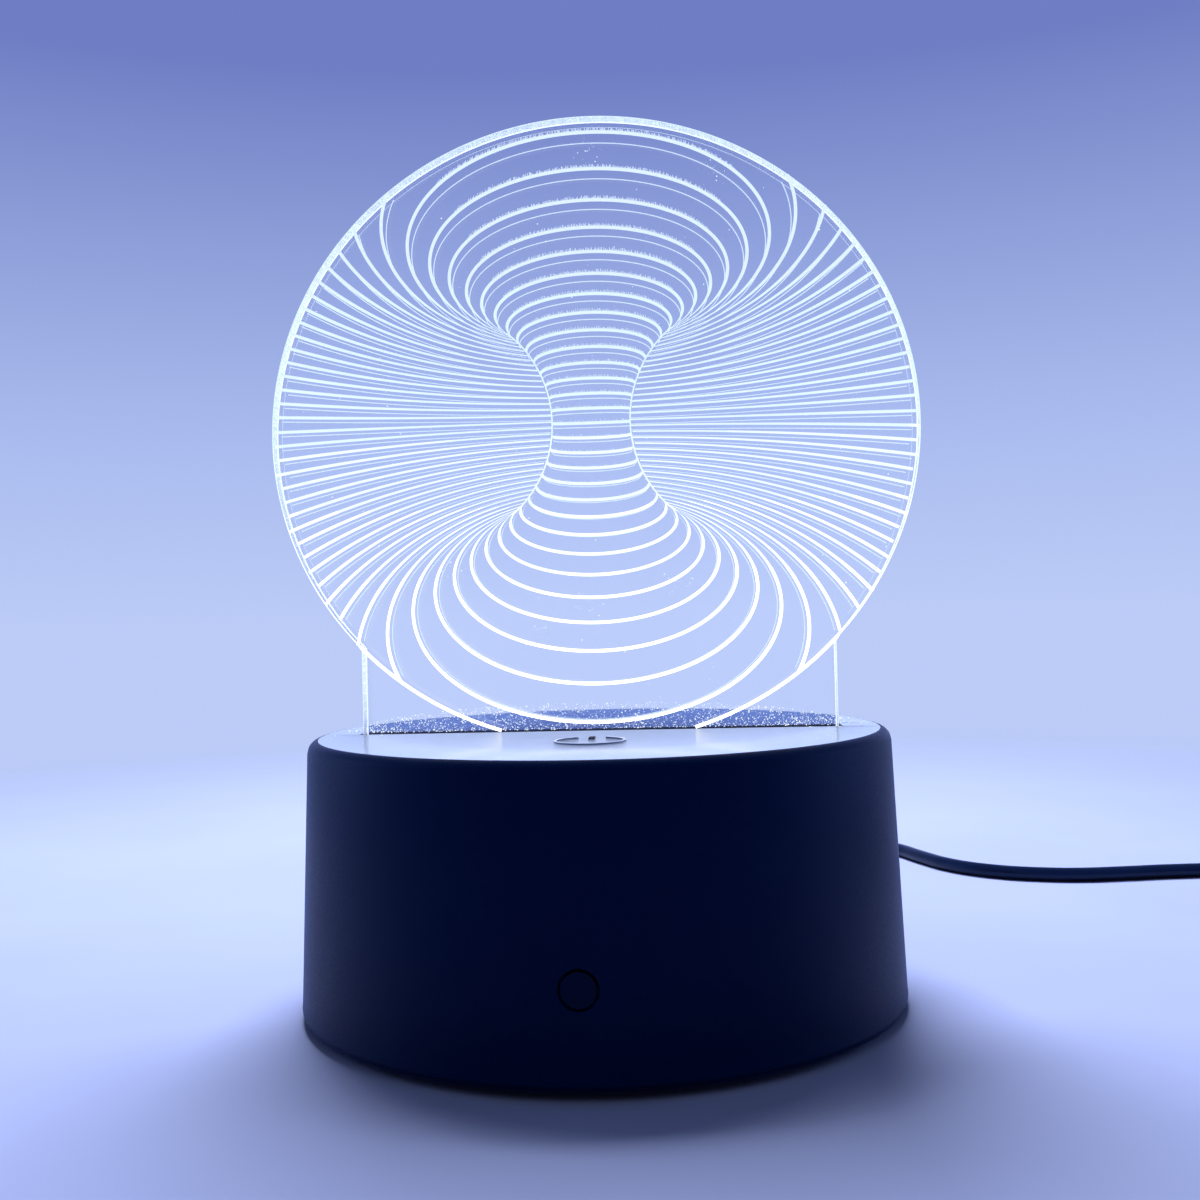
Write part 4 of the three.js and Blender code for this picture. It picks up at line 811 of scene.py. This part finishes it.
# the cutter left a burr on the upper side of the level lines; it thins out downwards
fray = {
    "seed": 11, "from": 62.0, "full": 108.0, "perMillimetre": 9.0, "tall": 0.50, "line": 0.045,
    "waist": (84, 9, 0.62), "level": 0.75, "openGap": 1.3, "start": 0.16, "clear": 0.2, "lean": 0.08,
    "shortest": 0.35, "mostlyShort": 1.5, "lowShare": 0.4,
}


def frayTicks():
    chance = random.Random(fray["seed"])
    waist, half, slope = fray["waist"]
    ticks = []
    for run in engravedLines:
        for (x0, z0, gap), (x1, z1, _) in zip(run, run[1:]):
            length = math.hypot(x1 - x0, z1 - z0)
            level = abs(x1 - x0) / (length + 1e-9)
            high = min(max((z0 - fray["from"]) / (fray["full"] - fray["from"]), 0.0), 1.0)
            inner = abs(x0) < half + slope * abs(z0 - waist)
            if level < fray["level"] or high <= 0 or not inner or gap < fray["openGap"]:
                continue
            count = length * fray["perMillimetre"] * high
            for _ in range(int(count) + (chance.random() < count % 1)):
                t = chance.random()
                x, z = x0 + (x1 - x0) * t, z0 + (z1 - z0) * t
                tall = fray["shortest"] + (1 - fray["shortest"]) * chance.random() ** fray["mostlyShort"]
                tall *= fray["tall"] * (fray["lowShare"] + (1 - fray["lowShare"]) * high)
                tipX = x + chance.uniform(-fray["lean"], fray["lean"])
                ticks.append([(x, z + fray["start"], 1), (tipX, z + fray["clear"] + tall, 1)])
    return ticks


makeGrooves("fray_marks", frayTicks(), glowLook("frayLight", (0.66, 0.80, 0.96), 0.80),
            -plate["thickness"] / 2, lambda z, gap: fray["line"])
print("figure is engraved")

# specks of dust and tiny scratches; their glints where they catch the light are painted in, as glow
dust = {
    "seed": 7, "count": 2400, "clumped": 110, "small": 0.04, "large": 0.13, "mostlySmall": 3,
    "clumps": [(-1.5, 56.6), (12.4, 60.3), (0.5, 124.5), (18, 120), (-8, 54), (-21, 63)],
    "clumpSpread": (1.3, 0.9), "lowShare": 0.94, "bottom": 39.2, "band": 3.9, "bandHalf": 36,
    "mostlyLow": 1.15, "from": 40, "to": 128, "front": -2.0, "reach": 46, "thick": 0.02,
    "margin": 0.5, "stemMargin": 0.4, "stemTop": 60,
}
topDust = {
    "count": 900, "large": 0.15, "top": 39.0, "half": 40, "radius": 40.2, "behindShare": 0.8,
    "behind": 2.4, "deep": 36, "mostlyNear": 2.2, "nearest": -34, "farthest": 36, "aside": 30,
    "slot": 35.3, "sunk": 0.3, "thick": 0.5,
}


def addSpeck(shape, place, angle, axis, sizes):
    spot = Matrix.Translation(Vector(place) * mm) @ Matrix.Rotation(angle, 4, axis)
    spot = spot @ Matrix.Diagonal((*(v * mm for v in sizes), 1))
    bmesh.ops.create_icosphere(shape, subdivisions=1, radius=1.0, matrix=spot)


def makeDust():
    # most of it low on the sheet, where the top's far half shows through, some in clumps
    chance = random.Random(dust["seed"])
    shape = bmesh.new()
    placed = 0
    while placed < dust["count"]:
        x = chance.uniform(-dust["reach"], dust["reach"])
        if placed < dust["clumped"]:
            centre = dust["clumps"][placed % len(dust["clumps"])]
            x = centre[0] + chance.gauss(0, dust["clumpSpread"][0])
        low = chance.random() < dust["lowShare"]
        band = dust["band"] * math.sqrt(max(1 - (x / dust["bandHalf"]) ** 2, 0.02))
        if low:
            z = dust["bottom"] + band * chance.random() ** dust["mostlyLow"]
        else:
            z = chance.uniform(dust["from"], dust["to"])
        if placed < dust["clumped"]:
            z = centre[1] + chance.gauss(0, dust["clumpSpread"][1])
        inStem = abs(x) < plate["stemHalfWidth"] - dust["stemMargin"] and z < dust["stemTop"]
        if not (insideDisc(x, z, dust["margin"]) or inStem):
            continue
        size = dust["small"] + (dust["large"] - dust["small"]) * chance.random() ** dust["mostlySmall"]
        addSpeck(shape, (x, dust["front"], z), chance.random() * 3, "Y",
                 (size, dust["thick"], size * chance.uniform(0.5, 1)))
        placed += 1
    return finishPiece("plate_dust_glints", shape, dustGlintLook, "plate", angle=60)


def makeTopDust():
    # dust on the shell behind and beside the plate, with painted glints
    chance = random.Random(dust["seed"] + 1)
    shape = bmesh.new()
    placed = 0
    while placed < topDust["count"]:
        x = chance.uniform(-topDust["half"], topDust["half"])
        if chance.random() < topDust["behindShare"]:
            y = topDust["behind"] + topDust["deep"] * chance.random() ** topDust["mostlyNear"]
        else:
            y = chance.uniform(topDust["nearest"], topDust["farthest"])
        beside = abs(x) > topDust["aside"] or y > topDust["behind"]
        inSlot = abs(y) < topDust["behind"] and abs(x) < topDust["slot"]
        if math.hypot(x, y) > topDust["radius"] or not beside or inSlot:
            continue
        size = dust["small"] + (topDust["large"] - dust["small"]) * chance.random() ** dust["mostlySmall"]
        addSpeck(shape, (x, y, topDust["top"] + size * topDust["sunk"]), chance.random() * 3, "Z",
                 (size, size * chance.uniform(0.4, 1), size * topDust["thick"]))
        placed += 1
    return finishPiece("top_dust_glints", shape, dustGlintLook, "base", angle=60)


# the specks' own glow is a painted glint
dustGlintLook = glowLook("dustPaintedGlint", (0.88, 0.94, 1.0), 1.15)
makeDust()
makeTopDust()

# the base shell: a turned cup, upside down, with its slot, window hole and plug mouth cut in
base = {
    "footRadius": 43.5, "topRadius": 42.0, "height": 39.0, "stand": 0.8, "wall": 2.0, "underside": 36.8,
    "topFillet": 1.6, "bottomFillet": 1.2, "rings": (4.5, 10.0, 15.6, 26.0), "steps": 192,
    "slot": (35.1, 2.3), "slotBottom": 35.8, "overrun": 1.0, "slotEase": 0.22,
    "pocketOutside": ((-4.2, -41.708, 8.2), (4.2, -34.808, 16.1)),
    "pocketInside": ((-3.2, -40.708, 9.2), (3.2, -35.808, 17.1)),
    "windowHeight": 12.8, "windowHole": 2.45, "windowFront": -44.5, "windowBack": -40.408,
    "windowOutside": -42.5, "windowEase": 0.12,
    "mouth": (5.8, 3.6, 2.0), "mouthHeight": 8.5, "mouthFront": 39.77, "mouthBack": 44.5,
    "mouthOutside": 42.3, "mouthEase": 0.25,
    "coverBosses": (37.907, 55), "stripBosses": (26.0, 8.3), "controlBosses": (10.5, 28.5),
    "bossTop": 37.9, "screwRadius": 1.4,
}
bosses = {  # radius, bottom, and where the screw hole runs from and to
    "cover": (3.5, 3.2, 2.2, 10.2), "strip": (2.8, 28.6, 27.6, 34.03), "control": (2.8, 31.2, 30.2, 36.4),
}


def outerRadius(height):
    return base["footRadius"] + (base["topRadius"] - base["footRadius"]) * height / base["height"]


def arc(centreRadius, centreHeight, radius, low, high, steps):
    return [(centreRadius + radius * math.cos(math.radians(low + (high - low) * i / steps)),
             centreHeight + radius * math.sin(math.radians(low + (high - low) * i / steps)))
            for i in range(steps + 1)]


def bossPlaces():
    far, degrees = base["coverBosses"]
    cover = [(far * math.cos(math.radians(a)), far * math.sin(math.radians(a)))
             for a in (degrees, 180 - degrees, 180 + degrees, -degrees)]
    along, across = base["stripBosses"]
    side, front = base["controlBosses"]
    return {"cover": cover, "strip": [(along, -across), (-along, across)],
            "control": [(-side, -front), (side, -front)]}


def makeBaseShell():
    height, stand, under, wall = base["height"], base["stand"], base["underside"], base["wall"]
    low, high = base["bottomFillet"], base["topFillet"]
    profile = [(0, under), (outerRadius(under) - wall, under), (outerRadius(stand) - wall, stand)]
    profile += arc(outerRadius(stand) - low, stand + low, low, -90, -1, 8)
    profile += [(outerRadius(z), z) for z in (stand + low + 0.1, *base["rings"], height - high - 0.1)]
    profile += arc(outerRadius(height) - high, height - high, high, 3, 90, 14)
    profile += [(outerRadius(height) - high - 0.08, height), (0, height)]
    shape = spunShape(profile, base["steps"])
    bmesh.ops.recalc_face_normals(shape, faces=shape.faces)
    for kind, places in bossPlaces().items():
        radius, bottom, _, _ = bosses[kind]
        for x, y in places:
            shape = carve(shape, rodShape(radius, bottom, base["bossTop"], x, y), "UNION")
    shape = carve(shape, boxShape(*base["pocketOutside"]), "UNION")
    shape = carve(shape, boxShape(*base["pocketInside"]))
    window, front, back = base["windowHole"], base["windowFront"], base["windowBack"]
    hole = spunShape([(0, front), (window, front), (window, back), (0, back)], 48, "Y",
                     (0, 0, base["windowHeight"]))
    shape = carve(shape, hole)
    halfLong, halfWide = base["slot"]
    shape = carve(shape, boxShape((-halfLong, -halfWide, base["slotBottom"]),
                                  (halfLong, halfWide, height + base["overrun"])))
    shape = carve(shape, roundedBar(*base["mouth"], base["mouthFront"], base["mouthBack"], 0,
                                    base["mouthHeight"], 0))
    for kind, places in bossPlaces().items():
        _, _, bottom, top = bosses[kind]
        for x, y in places:
            shape = carve(shape, rodShape(base["screwRadius"], bottom, top, x, y, 24))
    bmesh.ops.remove_doubles(shape, verts=shape.verts, dist=2e-6)
    easeMouths(shape, halfLong, halfWide)
    for face in shape.faces:
        middle = face.calc_center_median()
        onTop = middle.z > (height - 0.05) * mm and face.normal.z > 0.99
        face.material_index = 1 if onTop else 0
    return finishPiece("base_shell_turned", shape, [shellSide, shellTop], "base",
                       ["base_shell"], 32)


def easeMouths(shape, halfLong, halfWide):
    # soften the slot, the window hole and the plug mouth where they meet the outside
    def inSlot(v):
        onEnd = abs(abs(v.co.x) - halfLong * mm) < 1e-5 and abs(v.co.y) < halfWide * mm + 1e-5
        onSide = abs(abs(v.co.y) - halfWide * mm) < 1e-5 and abs(v.co.x) < halfLong * mm + 1e-5
        return abs(v.co.z - base["height"] * mm) < 1e-5 and (onEnd or onSide)

    def inHole(v):
        off = math.hypot(v.co.x, v.co.z - base["windowHeight"] * mm) - base["windowHole"] * mm
        return abs(off) < 1e-5 and v.co.y < base["windowOutside"] * mm

    def inMouth(v):
        x, z = abs(v.co.x) / mm, abs(v.co.z / mm - base["mouthHeight"])
        halfWidth, halfHeight, corner = base["mouth"]
        off = math.hypot(max(x - halfWidth + corner, 0), max(z - halfHeight + corner, 0)) - corner
        return abs(off) < 0.02 and v.co.y > base["mouthOutside"] * mm

    for test, width in ((inSlot, base["slotEase"]), (inHole, base["windowEase"]),
                        (inMouth, base["mouthEase"])):
        edges = [e for e in sharpEdges(shape, 40) if test(e.verts[0]) and test(e.verts[1])]
        print("easing", len(edges), "edges")
        easeEdges(shape, edges, width * mm, 3)


makeBaseShell()
print("base shell is made")

foot = {
    "radius": 3.5, "top": 1.8, "round": 0.45, "circle": 36.4,
    "dish": 0.25, "dishShare": 0.55, "rimShare": 0.66,
}


def makeFeet():
    # turned rubber feet with a shallow dish in the sole
    edge, low = foot["radius"], foot["round"]
    profile = [(0, foot["dish"]), (edge * foot["dishShare"], foot["dish"]),
               (edge * foot["rimShare"], 0.0), (edge - low, 0.0)]
    profile += arc(edge - low, low, low, -75, 0, 5) + [(edge, foot["top"]), (0, foot["top"])]
    for i, (x, y) in enumerate(((1, 0), (0, 1), (-1, 0), (0, -1))):
        centre = (x * foot["circle"], y * foot["circle"], 0)
        node = "rubber_foot_" + str(i + 1)
        finishPiece(node + "_turned", spunShape(profile, 64, centre=centre), footRubber, "base",
                    [node], 40)


makeFeet()

# the other nodes keep their solids; three big ones are merged, so that they shade cleanly
for node, look, body, slotName in (
        ("bottom_cover", coverBlack, "base", "cover_black"),
        ("battery_door", coverBlack, "door", "cover_black"),
        ("plate_channel", whitePlastic, "base", "white_plastic")):
    dressedCopy(node, look, body)

looksByStart = {
    "touch_symbol_bar": barPrint, "touch_symbol": symbolPrint, "ir_window": smokedWindow,
    "cover_screw": screwSteel, "battery_plate": nickelPlate, "battery_bridge": nickelPlate,
    "battery_spring": nickelPlate, "battery_lead": hookupWire,
    "led_board_screw": screwSteel, "led_board": boardWhite, "led_lead": hookupWire, "led_": ledPackage,
    "control_board_screw": screwSteel, "control_board": boardGreen, "touch_chip": chipBlack,
    "touch_spring": nickelPlate, "ir_receiver": chipBlack, "ir_lead": hookupWire,
    "power_board_screw": screwSteel, "power_board": boardGreen, "power_socket_tongue": chipBlack,
    "power_socket": nickelPlate, "power_lead": hookupWire,
}
undressed = []
for node in frame["nodes"]:
    start = next((s for s in looksByStart if node.startswith(s)), None)
    if start:
        dressNode(node, looksByStart[start])
    else:
        undressed.append(node)
print("replaced or made above:", undressed)


# stage: pale lavender table that fades into the backdrop
stage = {
    "table": (0.55, 0.585, 0.90), "low": (0.50, 0.60, 0.93), "middle": (0.40, 0.50, 0.86),
    "high": (0.16, 0.21, 0.55), "fadeFrom": 0.16, "fadeTo": 0.42,
    "front": (0.17, 0.32, 0.86), "clear": (1.0, 1.0, 1.0), "throughPlateShade": (0.12, 0.19, 0.42), "bounce": 1.6,
    "gleam": 1.5, "dim": 0.085, "under": 3.0,
}


def fill(tree, socket, value):
    # links another socket or sets a plain value
    if isinstance(value, bpy.types.NodeSocket):
        tree.links.new(value, socket)
    else:
        socket.default_value = value


def mathNode(tree, operation, *values):
    node = tree.nodes.new("ShaderNodeMath")
    node.operation = operation
    for socket, value in zip(node.inputs, values):
        fill(tree, socket, value)
    return node.outputs[0]


def colourMix(tree, amount, first, second, blend="MIX"):
    mix = tree.nodes.new("ShaderNodeMix")
    mix.data_type, mix.blend_type = "RGBA", blend
    for number, value in zip((0, 6, 7), (amount, first, second)):
        fill(tree, mix.inputs[number], value)
    return mix.outputs[2]


def shaderMix(tree, amount, first, second):
    mix = tree.nodes.new("ShaderNodeMixShader")
    for socket, value in zip(mix.inputs, (amount, first, second)):
        fill(tree, socket, value)
    return mix.outputs[0]


def background(tree, colour, strength):
    node = tree.nodes.new("ShaderNodeBackground")
    fill(tree, node.inputs["Color"], colour)
    fill(tree, node.inputs["Strength"], strength)
    return node.outputs[0]


def afterFirst(tree, depth):
    # 0 before the first bounce or pass of a kind, 1 after it
    return between(tree, depth, 0.0, 1.0, 0.0, 1.0)


def makeTable():
    shape = bmesh.new()
    bmesh.ops.create_circle(shape, cap_ends=True, segments=96, radius=1.6)
    mesh = bpy.data.meshes.new("tableTop")
    shape.to_mesh(mesh)
    shape.free()
    look = bpy.data.materials.new("paleTable")
    look.use_nodes = True
    tree = look.node_tree
    tree.nodes.clear()
    make = tree.nodes.new
    place = make("ShaderNodeTexCoord")
    length = make("ShaderNodeVectorMath")
    length.operation = "LENGTH"
    tree.links.new(place.outputs["Object"], length.inputs[0])
    far = between(tree, length.outputs["Value"], 0.0, 1.0, stage["fadeFrom"], stage["fadeTo"])
    cloth = noiseOn(tree, 14, 3.0)
    diffuse = make("ShaderNodeBsdfDiffuse")
    tree.links.new(mixed(tree, cloth.outputs["Fac"], [v * 0.94 for v in stage["table"]], stage["table"],
                         0.3, 0.7), diffuse.inputs["Color"])
    clear = make("ShaderNodeBsdfTransparent")
    # light from below reaches what a camera under the table sees
    geometry = make("ShaderNodeNewGeometry")
    path = make("ShaderNodeLightPath")
    under = mathNode(tree, "MAXIMUM", geometry.outputs["Backfacing"],
                     afterFirst(tree, path.outputs["Transparent Depth"]))
    hidden = mathNode(tree, "MAXIMUM", far, under)
    out = make("ShaderNodeOutputMaterial")
    tree.links.new(shaderMix(tree, hidden, diffuse.outputs[0], clear.outputs[0]), out.inputs["Surface"])
    mesh.materials.append(look)
    table = bpy.data.objects.new("tableTop", mesh)
    links.link(table)


def makeWorld():
    world = bpy.data.worlds.new("softRoom")
    scene.world = world
    world.use_nodes = True
    tree = world.node_tree
    tree.nodes.clear()
    make = tree.nodes.new
    path = make("ShaderNodeLightPath")
    place = make("ShaderNodeTexCoord")
    parts = make("ShaderNodeSeparateXYZ")
    tree.links.new(place.outputs["Generated"], parts.inputs[0])
    y, z = parts.outputs["Y"], parts.outputs["Z"]
    backdrop = ramped(tree, between(tree, z, 0.0, 1.0, -0.5, 0.5),
                      [(0.30, stage["low"]), (0.50, stage["low"]), (0.63, stage["middle"]),
                       (0.88, stage["high"])])
    # lighting the lamp: dim all round, brighter from below for a camera under the table
    fromBelow = mathNode(tree, "MULTIPLY_ADD", between(tree, z, stage["under"], 0.0, -0.35, -0.25),
                         afterFirst(tree, path.outputs["Transparent Depth"]), stage["dim"])
    dim = background(tree, (0.55, 0.65, 1.0, 1), fromBelow)
    # mirrored: a deep blue room in front, the backdrop behind, with painted shade making it dimmer when
    # seen through the plate
    turned = colourMix(tree, between(tree, y, 0.0, 1.0, 0.25, 0.98), (*stage["front"], 1), backdrop)
    shade = mixed(tree, afterFirst(tree, path.outputs["Transmission Depth"]), stage["clear"],
                  stage["throughPlateShade"])
    gleam = mathNode(tree, "MULTIPLY_ADD", between(tree, y, 0.0, stage["gleam"], 0.7, 0.97),
                     between(tree, z, 0.0, 1.0, -0.02, 0.10), 1.0)
    mirrored = background(tree, colourMix(tree, 1.0, turned, shade, "MULTIPLY"), gleam)
    # seen by the camera: the backdrop, brighter low down after a mirroring
    bounced = mathNode(tree, "MULTIPLY_ADD", afterFirst(tree, path.outputs["Glossy Depth"]),
                       between(tree, z, stage["bounce"], 0.0, 0.2, 0.45), 1.0)
    shown = background(tree, backdrop, bounced)
    seen = mathNode(tree, "MAXIMUM", path.outputs["Is Camera Ray"], path.outputs["Is Transmission Ray"])
    unseen = shaderMix(tree, path.outputs["Is Glossy Ray"], dim, mirrored)
    out = make("ShaderNodeOutputWorld")
    tree.links.new(shaderMix(tree, seen, unseen, shown), out.inputs["Surface"])


def softBox(name, place, aim, size, power, colour):
    data = bpy.data.lights.new(name, "AREA")
    data.shape, data.size, data.energy, data.color = "SQUARE", size, power, colour
    lamp = bpy.data.objects.new(name, data)
    links.link(lamp)
    lamp.location = place
    lamp.rotation_euler = (Vector(aim) - Vector(place)).to_track_quat("-Z", "Y").to_euler()
    lamp.visible_camera = False
    return lamp


makeTable()
makeWorld()
overhead = softBox("overheadSoft", (-0.04, 0.24, 0.50), (0, 0, 0.02), 0.29, 4.7, (0.76, 0.85, 1.0))
overhead.visible_glossy = overhead.visible_transmission = False
softBox("leftSoft", (-0.50, 0.10, 0.16), (0, 0, 0.02), 0.24, 0.26, (0.32, 0.50, 1.0))
softBox("rightSoft", (0.50, 0.10, 0.16), (0, 0, 0.02), 0.24, 0.26, (0.32, 0.50, 1.0))
front = softBox("frontSoft", (0, -0.45, 0.55), (0, -0.22, 0), 0.5, 0.15, (0.72, 0.84, 1.0))
front.visible_glossy = False
print("stage and lamps are set")
